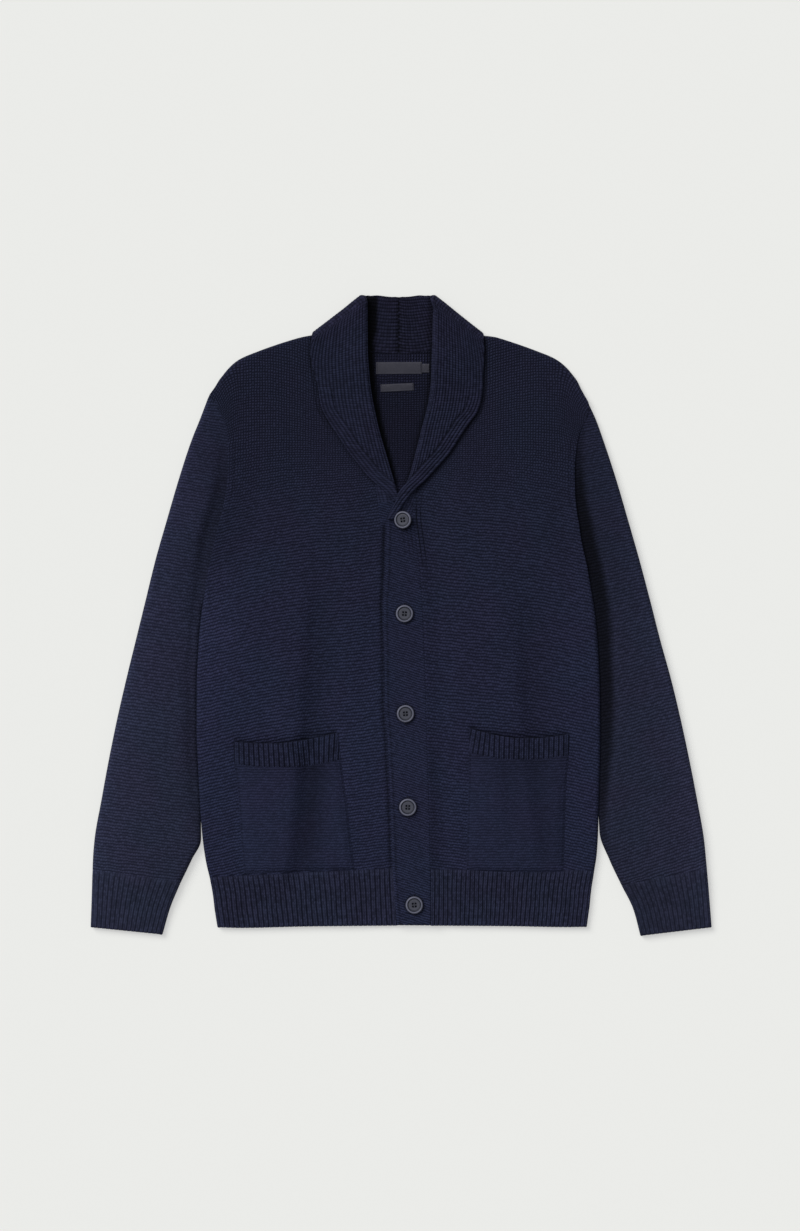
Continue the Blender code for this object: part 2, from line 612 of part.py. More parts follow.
def strip_section(seam, roll, leaf, base_out, base_in, bulge, stand_z, leaf_z, centre_z, sense):
    """One cross-section of the folded strip: stand, roll, leaf. The two *_z functions
    give each skin's height at a place; sense is 1 where the leaf is on top."""
    outs, ins = [], []
    for share in base_out:
        xy = seam + (roll - seam) * share
        outs.append(at(xy, stand_z(xy, True)))
        ins.append(at(xy, stand_z(xy, False)))
    for angle in ROLL_ANGLES:
        a = math.radians(angle)
        for bag, r in ((outs, ROLL_OUT), (ins, ROLL_IN)):
            bag.append(at(roll - bulge * r * math.cos(a), centre_z + sense * r * math.sin(a)))
    for share in base_in:
        xy = roll + (leaf - roll) * share
        outs.append(at(xy, leaf_z(xy, True)))
        ins.append(at(xy, leaf_z(xy, False)))
    return outs, ins


STAND_SHARES = (0.0, 0.4, 0.75)
LEAF_SHARES = (0.25, 0.6, 1.0)


def turn_section(side, angle, aside=0.0):
    """The folded strip at one place round the side of the neck. The strip turns about
    the axis; at -90 degrees it lies behind the neck and at 90 it lies in front."""
    slope, axis = np.array(NECK_TURN[side]["slope"]), turn_axis(side)
    middle, radius = 2.0 * ROLL_OUT + NECK_AIR / 2.0, ROLL_OUT + NECK_AIR / 2.0
    normal = (np.array(NECK_TURN[side]["corner"]) - axis) / middle
    turn = math.radians(angle)
    out, inn = [], []

    def place(along, across):
        reach = radius + across
        xy = axis + slope * along + normal * (reach * math.cos(turn) - aside)
        return at(xy, middle + reach * math.sin(turn))

    for share in STAND_SHARES:
        along = STAND_WIDTH * (1.0 - share)
        out.append(place(along, -ROLL_OUT))
        inn.append(place(along, -ROLL_IN))
    for roll_angle in ROLL_ANGLES:
        a = math.radians(roll_angle)
        out.append(place(-ROLL_OUT * math.cos(a), ROLL_OUT * math.sin(a)))
        inn.append(place(-ROLL_IN * math.cos(a), ROLL_IN * math.sin(a)))
    for share in LEAF_SHARES:
        out.append(place(LEAF_WIDTH * share, ROLL_OUT))
        inn.append(place(LEAF_WIDTH * share, ROLL_IN))
    return out, inn


def collar_back(side):
    """Half of the collar behind the neck, from the centre-back seam to the side of the
    neck: the leaf lies on the ground and the stand on it."""
    neck = NECKS[side]
    sections = []
    rows = list(zip(neck["seam_x"], neck["seam_y"], neck["roll_x"], neck["roll_y"], neck["leaf_x"], neck["leaf_y"]))
    for sx, sy, rx, ry, lx, ly in rows[::-1]:
        seam, roll, leaf = np.array([sx, sy]), np.array([rx, ry]), np.array([lx, ly])
        bulge = 0.5 * (seam + leaf) - roll
        bulge /= np.linalg.norm(bulge)
        sections.append(
            strip_section(
                seam, roll, leaf, STAND_SHARES, LEAF_SHARES, bulge,
                lambda xy, outer: 2 * ROLL_OUT if outer else WALL + LEAF_AIR,
                lambda xy, outer: 0.0 if outer else WALL,
                ROLL_OUT, -1.0,
            )
        )
    sections.append(turn_section(side, TURN_ANGLES[0], SEAM))
    sheet = Sheet()
    sheet.patch([o for o, _ in sections], [i for _, i in sections])
    return sheet.solid(f"collar_back_{side}", NAVY_RIB)


def collar_band(side):
    """The rest of the strip: round the side of the neck, down the neckline as a lapel,
    whose stand lies on the back and whose leaf lies on it and on the front, and down
    the front as a single band."""
    s = SIDES[side]
    sections = [turn_section(side, angle) for angle in TURN_ANGLES]

    def stand_z(xy, outer):
        return float(front_z(xy[0], xy[1], side)) + (0.0 if outer else WALL)

    def leaf_z(xy, outer):
        return float(front_z(xy[0], xy[1], side)) + WALL + LEAF_AIR + (WALL if outer else 0.0)

    last = s["name"].index("leaf_end")
    for k in range(last + 1):
        seam = np.array([s["seam_x"][k], s["seam_y"][k]])
        roll = np.array([s["roll_x"][k], s["roll_y"][k]])
        leaf = np.array([s["leaf_x"][k], s["leaf_y"][k]])
        bulge = leaf - roll
        bulge /= np.linalg.norm(bulge)
        centre = float(front_z(roll[0], roll[1], side)) + ROLL_OUT
        sections.append(strip_section(seam, roll, leaf, STAND_SHARES, LEAF_SHARES, bulge, stand_z, leaf_z, centre, 1.0))
    outers, inners = [o for o, _ in sections], [i for _, i in sections]
    sheet = Sheet()
    sheet.patch(outers, inners)
    # the band: one layer, from its seam to its free edge
    width = len(STAND_SHARES) + 1
    band_out, band_in = [outers[-1][:width]], [inners[-1][:width]]
    rows = [(s["seam_x"][k], s["seam_y"][k], s["roll_x"][k], s["roll_y"][k]) for k in range(last + 1, len(s["name"]))]
    low = HEM[f"{side}_y"][-1]
    middle_low = 0.5 * (rows[-1][1] + low)
    rows.append((0.5 * (rows[-1][0] + HEM_SEAM[side]), middle_low, 0.5 * (rows[-1][2] + HEM_FREE[side]), middle_low))
    rows.append((HEM_SEAM[side], low, HEM_FREE[side], low))
    for sx, sy, ex, ey in rows:
        seam, edge = np.array([sx, sy]), np.array([ex, ey])
        out, inn = [], []
        for share in (*STAND_SHARES, 1.0):
            xy = seam + (edge - seam) * share
            out.append(at(xy, stand_z(xy, True)))
            inn.append(at(xy, stand_z(xy, False)))
        band_out.append(out)
        band_in.append(inn)
    sheet.patch(band_out, band_in)
    return sheet.solid(f"collar_band_{side}", NAVY_RIB)


# ---------------------------------------------------------------- pockets
def pocket_grid(side, first, last, shares_down):
    """Rows of a pocket between two of its sections, from the front's own surface."""
    p = POCKET
    outers, inners = [], []
    names = p["name"]
    spots = np.arange(len(names), dtype=float)
    a, b = names.index(first), names.index(last)
    for t in shares_down:
        at_row = a + (b - a) * t
        x0, x1, y0, y1, sag = (float(through(spots, p[f"{side}_{key}"], at_row)) for key in ("x0", "x1", "y0", "y1", "sag"))
        out, inn = [], []
        for u in (0.0, 0.15, 0.35, 0.6, 0.82, 1.0):
            x = x0 + (x1 - x0) * u
            y = y0 + (y1 - y0) * u - sag * 4.0 * u * (1.0 - u)
            gape = POCKET_GAPE * math.sin(math.pi * u) ** 1.2 * math.exp(-((at_row / 1.25) ** 2))
            z = float(front_z(x, y, side)) + WALL + 0.5 + gape
            out.append(np.array([x, y, z + WALL]))
            inn.append(np.array([x, y, z]))
        outers.append(out)
        inners.append(inn)
    return outers, inners


def pocket(side):
    sheet = Sheet()
    outer, inner = pocket_grid(side, "border_end", "bottom", (0.0, 0.25, 0.5, 0.75, 1.0))
    for skin in (outer, inner):
        for point in skin[0]:
            point[1] -= SEAM
    sheet.patch(outer, inner)
    return sheet.solid(f"pocket_{side}", NAVY)


def pocket_border(side):
    sheet = Sheet()
    sheet.patch(*pocket_grid(side, "mouth", "border_end", (0.0, 0.5, 1.0)))
    return sheet.solid(f"pocket_border_{side}", NAVY_RIB)


# ---------------------------------------------------------------- buttons and labels
def button(name, x, y, lean):
    """A four-hole button: a dished disc with a raised rim, turned and then drilled."""
    r, h = BUTTON_RADIUS, BUTTON_HEIGHT
    profile = [
        (r - 1.6, 0.0), (r - 0.3, 1.1), (r, 2.3), (r - 0.7, h - 0.3), (r - 1.6, h),
        (r - 2.9, h - 0.5), (r - 3.6, h - 1.3), (0.0, h - 1.5),
    ]
    work = bmesh.new()
    rings = []
    for radius, z in profile[:-1]:
        rings.append([
            work.verts.new((radius * math.cos(2 * math.pi * k / BUTTON_SIDES), radius * math.sin(2 * math.pi * k / BUTTON_SIDES), z))
            for k in range(BUTTON_SIDES)
        ])
    for low, high in zip(rings[:-1], rings[1:]):
        for k in range(BUTTON_SIDES):
            n = (k + 1) % BUTTON_SIDES
            work.faces.new((low[k], low[n], high[n], high[k]))
    work.faces.new(rings[0][::-1])
    top = work.verts.new((0.0, 0.0, profile[-1][1]))
    for k in range(BUTTON_SIDES):
        work.faces.new((rings[-1][k], rings[-1][(k + 1) % BUTTON_SIDES], top))
    mesh = bpy.data.meshes.new(name + "_blank")
    work.to_mesh(mesh)
    work.free()
    blank = bpy.data.objects.new(name + "_blank", mesh)
    bpy.context.scene.collection.objects.link(blank)
    drill = bmesh.new()
    for dx, dy in ((-1, -1), (-1, 1), (1, -1), (1, 1)):
        made = bmesh.ops.create_cone(drill, cap_ends=True, segments=8, radius1=0.85, radius2=0.85, depth=3.0 * h)
        bmesh.ops.translate(drill, verts=made["verts"], vec=(dx * 1.75, dy * 1.75, 0.0))
    drill_mesh = bpy.data.meshes.new(name + "_drill")
    drill.to_mesh(drill_mesh)
    drill.free()
    cutter = bpy.data.objects.new(name + "_drill", drill_mesh)
    cutter.hide_render = True
    cutter.display_type = "WIRE"
    bpy.context.scene.collection.objects.link(cutter)
    cut = blank.modifiers.new("holes", "BOOLEAN")
    cut.operation, cut.solver, cut.object = "DIFFERENCE", "EXACT", cutter
    bpy.context.view_layer.update()
    done = blank.evaluated_get(bpy.context.evaluated_depsgraph_get()).to_mesh()
    points = np.array([v.co[:] for v in done.vertices])
    faces = [list(f.vertices) for f in done.polygons]
    blank.evaluated_get(bpy.context.evaluated_depsgraph_get()).to_mesh_clear()
    bpy.data.objects.remove(blank)
    bpy.data.objects.remove(cutter)
    tilt = math.radians(lean)
    turned = points.copy()
    turned[:, 0] = points[:, 0] * math.cos(tilt) - points[:, 2] * math.sin(tilt)
    turned[:, 2] = points[:, 0] * math.sin(tilt) + points[:, 2] * math.cos(tilt)
    ring = [(x + r * math.cos(t), y + r * math.sin(t)) for t in np.linspace(0, 2 * math.pi, 17)] + [(x, y)]
    ground = max(float(front_z(px, py, "left")) for px, py in ring) + WALL + 0.4
    turned += [x, y, ground - turned[:, 2].min()]
    return solid(name, turned, faces, SLATE)


def label(name, x, y, width, height, tilt):
    """A woven label sewn flat on the inside of the back."""
    turn = math.radians(tilt)
    rows = []
    for v in (-0.5, 0.0, 0.5):
        row = []
        for u in (-0.5, -0.25, 0.0, 0.25, 0.5):
            dx, dy = u * width, v * height
            row.append((x + dx * math.cos(turn) - dy * math.sin(turn), y + dx * math.sin(turn) + dy * math.cos(turn)))
        rows.append(row)
    sheet = Sheet()
    base = [[float(lift(px, py)) + WALL + 0.35 for px, py in row] for row in rows]
    outer = [[at(p, z + LABEL_WALL) for p, z in zip(row, zs)] for row, zs in zip(rows, base)]
    inner = [[at(p, z) for p, z in zip(row, zs)] for row, zs in zip(rows, base)]
    sheet.patch(outer, inner)
    return sheet.solid(name, LABEL_GREY)


def main():
    for obj in list(bpy.data.objects):
        bpy.data.objects.remove(obj)
    back()
    hem_back()
    for side in SIGN:
        front(side)
        hem_front(side)
        sleeve(side)
        cuff(side)
        collar_back(side)
        collar_band(side)
        pocket(side)
        pocket_border(side)
    for name, x, y, lean in BUTTONS:
        button(name, x, y, lean)
    for row in LABELS:
        label(*row)


main()
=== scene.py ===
"""Shawl collar cardigan: the looks. Every piece of cloth is a closed shell on the form of
its solid, with the creases, the ribs and the seams, and a knit material on top.

X is across the garment (the wearer's left is +X), Y is up the garment, Z is up. The
tables are in millimetres, as in the construction; meshes are in metres.
"""

import math

import bmesh
import bpy
import numpy as np
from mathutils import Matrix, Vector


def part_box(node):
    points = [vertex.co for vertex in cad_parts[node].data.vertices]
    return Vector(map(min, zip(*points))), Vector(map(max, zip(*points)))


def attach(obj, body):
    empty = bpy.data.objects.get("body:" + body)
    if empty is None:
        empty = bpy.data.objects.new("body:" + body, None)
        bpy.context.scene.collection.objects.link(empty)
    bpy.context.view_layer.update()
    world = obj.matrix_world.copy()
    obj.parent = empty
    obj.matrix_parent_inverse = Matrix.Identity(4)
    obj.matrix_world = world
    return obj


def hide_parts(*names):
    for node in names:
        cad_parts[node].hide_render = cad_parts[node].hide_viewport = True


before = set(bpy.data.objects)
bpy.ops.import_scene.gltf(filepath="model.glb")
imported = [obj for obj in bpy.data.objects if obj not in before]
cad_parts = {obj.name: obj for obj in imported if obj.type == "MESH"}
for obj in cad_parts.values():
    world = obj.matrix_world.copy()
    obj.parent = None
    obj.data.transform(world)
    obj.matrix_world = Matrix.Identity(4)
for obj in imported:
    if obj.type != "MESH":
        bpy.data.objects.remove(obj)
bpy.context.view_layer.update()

# ================================================================ camera, light, floor
scene = bpy.context.scene
MM_PER_PIXEL = 1.22
IMAGE_HEIGHT = 1231
CAMERA_HEIGHT = 5.0
LIGHT_FROM = (-0.66, 0.62)  # where the soft key light stands, seen from above
KEY_ELEVATION = 44.0


def make_camera():
    data = bpy.data.cameras.new("camera")
    data.type = "PERSP"
    data.sensor_fit = "AUTO"
    data.sensor_width = 36.0
    data.lens = 36.0 * CAMERA_HEIGHT * 1000.0 / (IMAGE_HEIGHT * MM_PER_PIXEL)
    data.clip_start, data.clip_end = 0.1, 100.0
    camera = bpy.data.objects.new("camera", data)
    camera.location = (-0.0014, 0.0, CAMERA_HEIGHT + 0.004)
    camera.rotation_euler = (0.0, 0.0, 0.0)
    scene.collection.objects.link(camera)
    scene.camera = camera


def make_sun(name, energy, elevation, azimuth_xy, angle, colour=(1.0, 1.0, 1.0)):
    data = bpy.data.lights.new(name, "SUN")
    data.energy = energy
    data.angle = math.radians(angle)
    data.color = colour
    sun = bpy.data.objects.new(name, data)
    e = math.radians(elevation)
    x, y = azimuth_xy
    length = math.hypot(x, y) or 1.0
    toward = np.array([x / length * math.cos(e), y / length * math.cos(e), math.sin(e)])
    # a sun shines along its own -Z
    from mathutils import Vector

    sun.rotation_mode = "QUATERNION"
    sun.rotation_quaternion = Vector(toward).to_track_quat("Z", "Y")
    sun.location = Vector(toward) * 3.0
    scene.collection.objects.link(sun)


def make_world(ambient, seen):
    world = bpy.data.worlds.new("studio")
    scene.world = world
    world.use_nodes = True
    tree = world.node_tree
    tree.nodes.clear()
    out = tree.nodes.new("ShaderNodeOutputWorld")
    mix = tree.nodes.new("ShaderNodeMixShader")
    path = tree.nodes.new("ShaderNodeLightPath")
    light = tree.nodes.new("ShaderNodeBackground")
    light.inputs["Color"].default_value = (0.98, 0.99, 1.0, 1.0)
    light.inputs["Strength"].default_value = ambient
    wall = tree.nodes.new("ShaderNodeBackground")
    wall.inputs["Color"].default_value = (0.831, 0.839, 0.814, 1.0)
    wall.inputs["Strength"].default_value = seen
    tree.links.new(path.outputs["Is Camera Ray"], mix.inputs["Fac"])
    tree.links.new(light.outputs[0], mix.inputs[1])
    tree.links.new(wall.outputs[0], mix.inputs[2])
    tree.links.new(mix.outputs[0], out.inputs["Surface"])


def make_floor():
    mesh = bpy.data.meshes.new("studio_floor")
    s = 40.0
    mesh.from_pydata([(-s, -s, -0.0002), (s, -s, -0.0002), (s, s, -0.0002), (-s, s, -0.0002)], [], [(0, 1, 2, 3)])
    floor = bpy.data.objects.new("studio_floor", mesh)
    scene.collection.objects.link(floor)
    material = bpy.data.materials.new("studio_floor")
    material.use_nodes = True
    shader = material.node_tree.nodes["Principled BSDF"]
    # a lit table: part of its brightness is its own, which keeps the shadows on it pale
    shader.inputs["Base Color"].default_value = (0.386, 0.392, 0.372, 1.0)
    shader.inputs["Roughness"].default_value = 1.0
    shader.inputs["Specular IOR Level"].default_value = 0.0
    shader.inputs["Emission Color"].default_value = (1.0, 1.0, 1.0, 1.0)
    shader.inputs["Emission Strength"].default_value = 0.42
    mesh.materials.append(material)


make_camera()
make_sun("key", 2.42, KEY_ELEVATION, LIGHT_FROM, 34.0, (1.0, 0.995, 0.985))
make_sun("top", 1.10, 84.0, (-0.3, 0.5), 50.0)
make_world(0.18, 1.0)
make_floor()
scene.view_settings.view_transform = "Standard"
scene.view_settings.look = "None"

# ================================================================ sizes and tables, mm
WALL = 3.0
SEAM = 0.4
LEAF_AIR = 1.0
NECK_AIR = 0.6
STEP = 3.5
STAND_WIDTH = 58.0
LEAF_WIDTH = 74.0
CENTRE_BACK = -2.0
BUTTON_RADIUS = 10.6
LABEL_WALL = 0.6
POCKET_GAPE = 3.6
CENTRE = (0.5, 0.036)
ROLL_IN = LEAF_AIR / 2.0
ROLL_OUT = ROLL_IN + WALL
SIGN = {"right": -1.0, "left": 1.0}

FRONT_COLUMNS = "name side_x side_y seam_x seam_y roll_x roll_y leaf_x leaf_y".split()
FRONT_RIGHT = [
    ("neck", -97.5, 347.4, -92.6, 343.5, -43.6, 374, -107.8, 336.0),
    ("shoulder1", -106, 342.4, -94.2, 334, -43.6, 358, -109.0, 328.5),
    ("shoulder2", -120, 339.6, -95.0, 322, -43.5, 339, -108.8, 317.5),
    ("shoulder3", -142, 333.4, -94.6, 309, -43.3, 319, -107.0, 306.5),
    ("shoulder4", -172, 323, -92.6, 295, -42.0, 299, -103.5, 293.5),
    ("shoulder5", -199, 311, -90.0, 280, -40.0, 279, -99.8, 279.0),
    ("shoulder6", -221, 288, -87.6, 266, -37.4, 262, -97.6, 263.0),
    ("tip", -233.1, 267, -84.6, 252, -34.0, 246, -94.2, 250.0),
    ("armhole1", -222.5, 251, -77.6, 236, -30.4, 230, -86.5, 236.0),
    ("armhole2", -212.5, 230, -67.2, 219, -26.0, 214, -75.8, 220.0),
    ("armhole3", -209.5, 205, -55.2, 202, -21.0, 197, -63.2, 200.5),
    ("armhole4", -209.3, 180, -43.0, 184.5, -16.0, 180, -50.0, 183.5),
    ("armhole5", -211.5, 155, -32.6, 167, -11.2, 164, -36.6, 167.5),
    ("armhole6", -216.5, 128, -28.8, 150, -7.0, 150, -17.5, 150.5),
    ("leaf_end", -219.6, 116, -27.2, 138, -4.0, 139.5, -8.4, 140.0),
    ("band1", -223, 104, -25.2, 118, 3.0, 120, None, None),
    ("band2", -226.2, 89, -23.6, 107, 6.8, 109, None, None),
    ("band3", -229.8, 72, -22.7, 94, 10.6, 95, None, None),
    ("band4", -235.4, 46, -22.6, 70, 15.0, 70, None, None),
    ("underarm", -243.2, 4, -23.4, 20, 18.0, 20, None, None),
    ("side1", -247.2, -40, -20.6, -25, 21.0, -25, None, None),
    ("side2", -249.2, -90, -17.6, -76, 23.0, -76, None, None),
    ("side3", -249.2, -140, -15.0, -128, 25.0, -128, None, None),
    ("side4", -247.2, -190, -12.0, -180, 26.5, -180, None, None),
    ("side5", -244.8, -235, -9.6, -228, 27.5, -228, None, None),
    ("side6", -241.6, -272, -8.0, -266, 28.0, -266, None, None),
    ("side7", -237.6, -300, -7.0, -290, 28.5, -290, None, None),
    ("hem_top", -233.0, -319.6, -6.4, -308.4, 29.0, -308.4, None, None),
]
FRONT_LEFT = [
    ("neck", 91.0, 346.8, 86.0, 343.0, 42.3, 374, 100.4, 335.0),
    ("shoulder1", 99.4, 341.6, 87.8, 333, 42.2, 358, 101.0, 327.5),
    ("shoulder2", 113.5, 339.8, 88.6, 321, 42.0, 339, 100.6, 316.5),
    ("shoulder3", 135, 333.6, 88.8, 308, 41.6, 319, 100.2, 305.5),
    ("shoulder4", 165, 323, 88.6, 294, 41.0, 299, 99.8, 292.5),
    ("shoulder5", 191, 311.5, 88.0, 280, 40.0, 280, 99.0, 279.0),
    ("shoulder6", 214.5, 287.5, 86.0, 265, 37.5, 262, 97.6, 264.0),
    ("tip", 228.5, 258, 82.0, 250, 34.0, 246, 92.4, 248.0),
    ("armhole1", 226.0, 241, 72.6, 232, 29.6, 230, 81.6, 233.0),
    ("armhole2", 219.5, 228, 62.0, 216, 25.6, 214, 70.4, 216.0),
    ("armhole3", 213.5, 205, 51.0, 199, 21.2, 197, 58.6, 198.0),
    ("armhole4", 211.3, 178, 39.2, 183, 16.8, 180, 45.4, 182.5),
    ("armhole5", 211.6, 152, 26.4, 166.5, 11.2, 164, 30.4, 166.0),
    ("armhole6", 214.0, 125, 17.4, 151.5, 0.6, 150, 15.8, 152.0),
    ("lapel1", 216.4, 112, 15.0, 141, -2.8, 140.5, 6.4, 141.0),
    ("lapel2", 218.2, 98, 14.2, 129.5, -8.6, 129, -1.4, 129.5),
    ("leaf_end", 221.2, 82, 14.4, 118, -12.8, 118, -9.0, 118.4),
    ("band1", 222.0, 78, 14.6, 116.4, -15.6, 116.2, None, None),
    ("band2", 226.0, 61, 16.8, 100, -16.4, 100, None, None),
    ("underarm", 237.2, 2, 22.6, 55, -17.6, 54, None, None),
    ("side1", 241.2, -45, 25.6, 10, -20.2, 8, None, None),
    ("side2", 243.2, -95, 28.0, -45, -19.4, -45, None, None),
    ("side3", 243.6, -140, 29.8, -100, -19.0, -100, None, None),
    ("side4", 243.0, -185, 31.2, -155, -15.6, -155, None, None),
    ("side5", 241.8, -225, 33.0, -205, -13.2, -205, None, None),
    ("side6", 240.8, -262, 34.2, -250, -11.2, -250, None, None),
    ("side7", 239.2, -290, 35.0, -285, -10.2, -285, None, None),
    ("hem_top", 236.0, -311.6, 35.4, -309.6, -9.6, -309.6, None, None),
]
BACK_NECK_COLUMNS = "name seam_x seam_y roll_x roll_y leaf_x leaf_y".split()
BACK_NECK_RIGHT = [
    ("quarter3", -73.0, 336.5, -39.0, 386.2, -83.0, 327.5),
    ("quarter2", -51.0, 326.5, -30.0, 386.3, -58.0, 318.5),
    ("quarter1", -25.0, 321.2, -16.0, 384.6, -29.0, 314.6),
    ("centre", -2.2, 320.4, -2.2, 383.9, -2.2, 313.8),
]
BACK_NECK_LEFT = [
    ("quarter3", 66.0, 336.0, 33.0, 386.2, 76.0, 327.0),
    ("quarter2", 44.0, 326.3, 24.0, 386.3, 52.0, 318.3),
    ("quarter1", 20.0, 321.2, 11.0, 384.6, 24.0, 314.6),
    ("centre", -1.8, 320.4, -1.8, 383.9, -1.8, 313.8),
]
NECK_TURN = {
    "right": dict(corner=(-49.1, 390.0), slope=(-0.795, -0.606)),
    "left": dict(corner=(42.6, 390.0), slope=(0.788, -0.615)),
}
SLEEVE_COLUMNS = "y right_x left_x".split()
SLEEVE_OUTLINE = [
    (267, -234.4, 225.0),
    (239, -245.0, 238.0),
    (214, -255.0, 247.0),
    (165, -271.0, 263.0),
    (117, -285.0, 277.0),
    (68, -299.0, 291.0),
    (19, -311.0, 304.0),
    (-30, -323.0, 316.5),
    (-79, -335.0, 330.0),
    (-127, -346.0, 341.5),
    (-176, -356.0, 352.0),
    (-225, -365.0, 361.5),
    (-274, -373.5, 370.0),
    (-298, -375.4, 372.4),
    (-323, -376.2, 374.6),
    (-347, -377.0, 376.6),
    (-380, -378.2, 379.2),
]
FOREARM_COLUMNS = "name right_x right_y left_x left_y".split()
FOREARM = [
    ("fork", -243.4, -272.0, 242.4, -264.0),
    ("forearm", -255.0, -298.0, 254.6, -298.0),
    ("cuff_top", -268.8, -326.6, 269.6, -329.6),
    ("cuff_middle", -281.0, -356.0, 283.6, -358.0),
    ("cuff_end", -290.6, -389.0, 292.4, -390.4),
]
SLEEVE_TILT = dict(right=0.147, left=0.20)
HEM_COLUMNS = "share right_y left_y".split()
HEM_EDGE = [(0.0, -380.2, -379.6), (0.12, -381.0, -380.0), (0.5, -379.0, -378.6), (1.0, -377.7, -377.7)]
HEM_CORNER = dict(right=-223.4, left=226.8)
HEM_SEAM = dict(right=-3.6, left=35.6)
HEM_FREE = dict(right=30.0, left=-4.6)
POCKET_COLUMNS = "name right_x0 right_x1 right_y0 right_y1 right_sag left_x0 left_x1 left_y0 left_y1 left_sag".split()
POCKET_ROWS = [
    ("mouth", -203.0, -77.0, -153.5, -142.0, 7.0, 84.4, 205.0, -137.5, -144.5, 8.5),
    ("border_end", -202.4, -73.0, -180.0, -175.0, 6.5, 83.4, 204.6, -166.5, -169.0, 7.0),
    ("upper", -198.4, -68.8, -210.0, -208.0, 3.0, 83.0, 201.8, -200.0, -201.0, 3.0),
    ("middle", -196.0, -64.4, -243.0, -241.0, 1.0, 82.0, 200.2, -236.0, -236.0, 1.0),
    ("lower", -194.0, -61.0, -276.0, -273.0, 0.0, 81.0, 199.2, -274.0, -274.0, 0.0),
    ("bottom", -190.6, -56.6, -314.4, -308.6, 0.0, 80.4, 198.2, -309.6, -312.4, 1.5),
]
SWELL_COLUMNS = "name x y reach_x reach_y height".split()
SWELLS = [
    ("chest_right", -150, 190, 62, 80, 1.3),
    ("chest_left", 150, 185, 62, 80, 1.4),
    ("waist_right", -130, -20, 80, 110, 1.5),
    ("waist_left", 140, -40, 80, 120, 1.3),
    ("hip_right", -120, -255, 90, 60, 1.2),
    ("hip_left", 130, -250, 80, 60, 1.3),
    ("upper_sleeve_right", -255, 120, 26, 100, 1.2),
    ("upper_sleeve_left", 252, 110, 26, 100, 1.2),
    ("elbow_right", -295, -90, 36, 90, 1.5),
    ("elbow_left", 292, -100, 36, 90, 1.4),
    ("forearm_right", -318, -260, 30, 70, 1.1),
    ("forearm_left", 318, -265, 30, 70, 1.1),
]
BUTTONS = [
    ("button_1", 3.0, 116.5, 14.0),
    ("button_2", 4.6, 2.3, 0.0),
    ("button_3", 5.8, -119.6, 0.0),
    ("button_4", 8.6, -233.6, 0.0),
    ("button_5", 16.5, -352.6, 0.0),
]
LABELS = [
    ("neck_label", -2.2, 301.8, 55.6, 14.2, 0.3),
    ("size_tab", 30.4, 301.6, 8.4, 10.4, 0.0),
    ("care_label", -4.4, 278.2, 40.0, 8.8, 2.6),
]

# Creases of the upper layer of the body, one row each: a line from top to bottom with
# the height at each of its points (below zero is a trough), and how far it reaches to
# its left and to its right.
BODY_CREASES = [
    dict(reach=(46, 12), line=[(-128, 84, 0.0), (-123, 20, 2.0), (-126, -60, 2.8), (-129, -115, 3.2), (-131, -172, 4.8), (-136, -235, 4.8), (-143, -305, 4.0), (-146, -345, 0.0)]),
    dict(reach=(12, 27), line=[(-98, 96, 0.0), (-99, 20, -2.0), (-104, -60, -2.6), (-107, -115, -3.0), (-108, -172, -4.6), (-113, -235, -4.6), (-120, -305, -3.8), (-124, -340, 0.0)]),
    dict(reach=(40, 12), line=[(120, 66, 0.0), (130, -10, 1.9), (137, -80, 2.6), (141, -150, 2.6), (150, -230, 2.4), (158, -290, 1.8), (164, -318, 0.0)]),
    dict(reach=(11, 26), line=[(144, 60, 0.0), (152, -10, -1.8), (158, -80, -2.4), (162, -150, -2.6), (171, -230, -2.4), (179, -290, -1.8), (184, -318, 0.0)]),
    dict(reach=(22, 12), line=[(112, -150, 0.0), (114, -190, 1.6), (118, -240, 1.4), (124, -290, 0.0)]),
    dict(reach=(12, 18), line=[(128, -150, 0.0), (130, -190, -1.5), (134, -240, -1.3), (138, -290, 0.0)]),
    dict(reach=(16, 20), line=[(-176, 210, 0.0), (-188, 150, -1.2), (-200, 90, -1.5), (-214, 30, 0.0)]),
    dict(reach=(18, 16), line=[(176, 215, 0.0), (186, 160, -1.1), (198, 96, -1.3), (214, 30, 0.0)]),
    dict(reach=(30, 24), line=[(-196, 20, 0.0), (-190, -40, 1.4), (-196, -110, 1.6), (-206, -170, 0.0)]),
    dict(reach=(26, 30), line=[(204, -20, 0.0), (198, -80, 1.3), (204, -150, 1.4), (214, -210, 0.0)]),
    dict(reach=(30, 30), line=[(-62, 60, 0.0), (-70, 0, 0.9), (-66, -70, 1.2), (-60, -130, 0.0)]),
    dict(reach=(26, 30), line=[(74, 30, 0.0), (80, -40, 1.0), (76, -100, 0.9), (70, -150, 0.0)]),
]
# The valley down each sleeve beside the body: height, how far it lies from the sleeve's
# inner edge, and how deep it is.
VALLEY_COLUMNS = "y right_offset right_depth left_offset left_depth".split()
VALLEY = [
    (240, 4.0, 0.0, 4.0, 0.0),
    (195, 6.0, 1.8, 5.0, 3.4),
    (150, 8.0, 3.6, 6.5, 5.6),
    (92, 9.0, 4.4, 8.5, 6.6),
    (31, 6.0, 3.8, 9.0, 7.0),
    (-54, 4.0, 3.0, 8.5, 7.0),
    (-140, 6.0, 4.0, 8.0, 6.8),
    (-231, 5.0, 3.4, 4.5, 5.6),
    (-275, 2.0, 0.8, 3.0, 1.6),
    (-330, 0.0, 0.0, 0.0, 0.0),
]
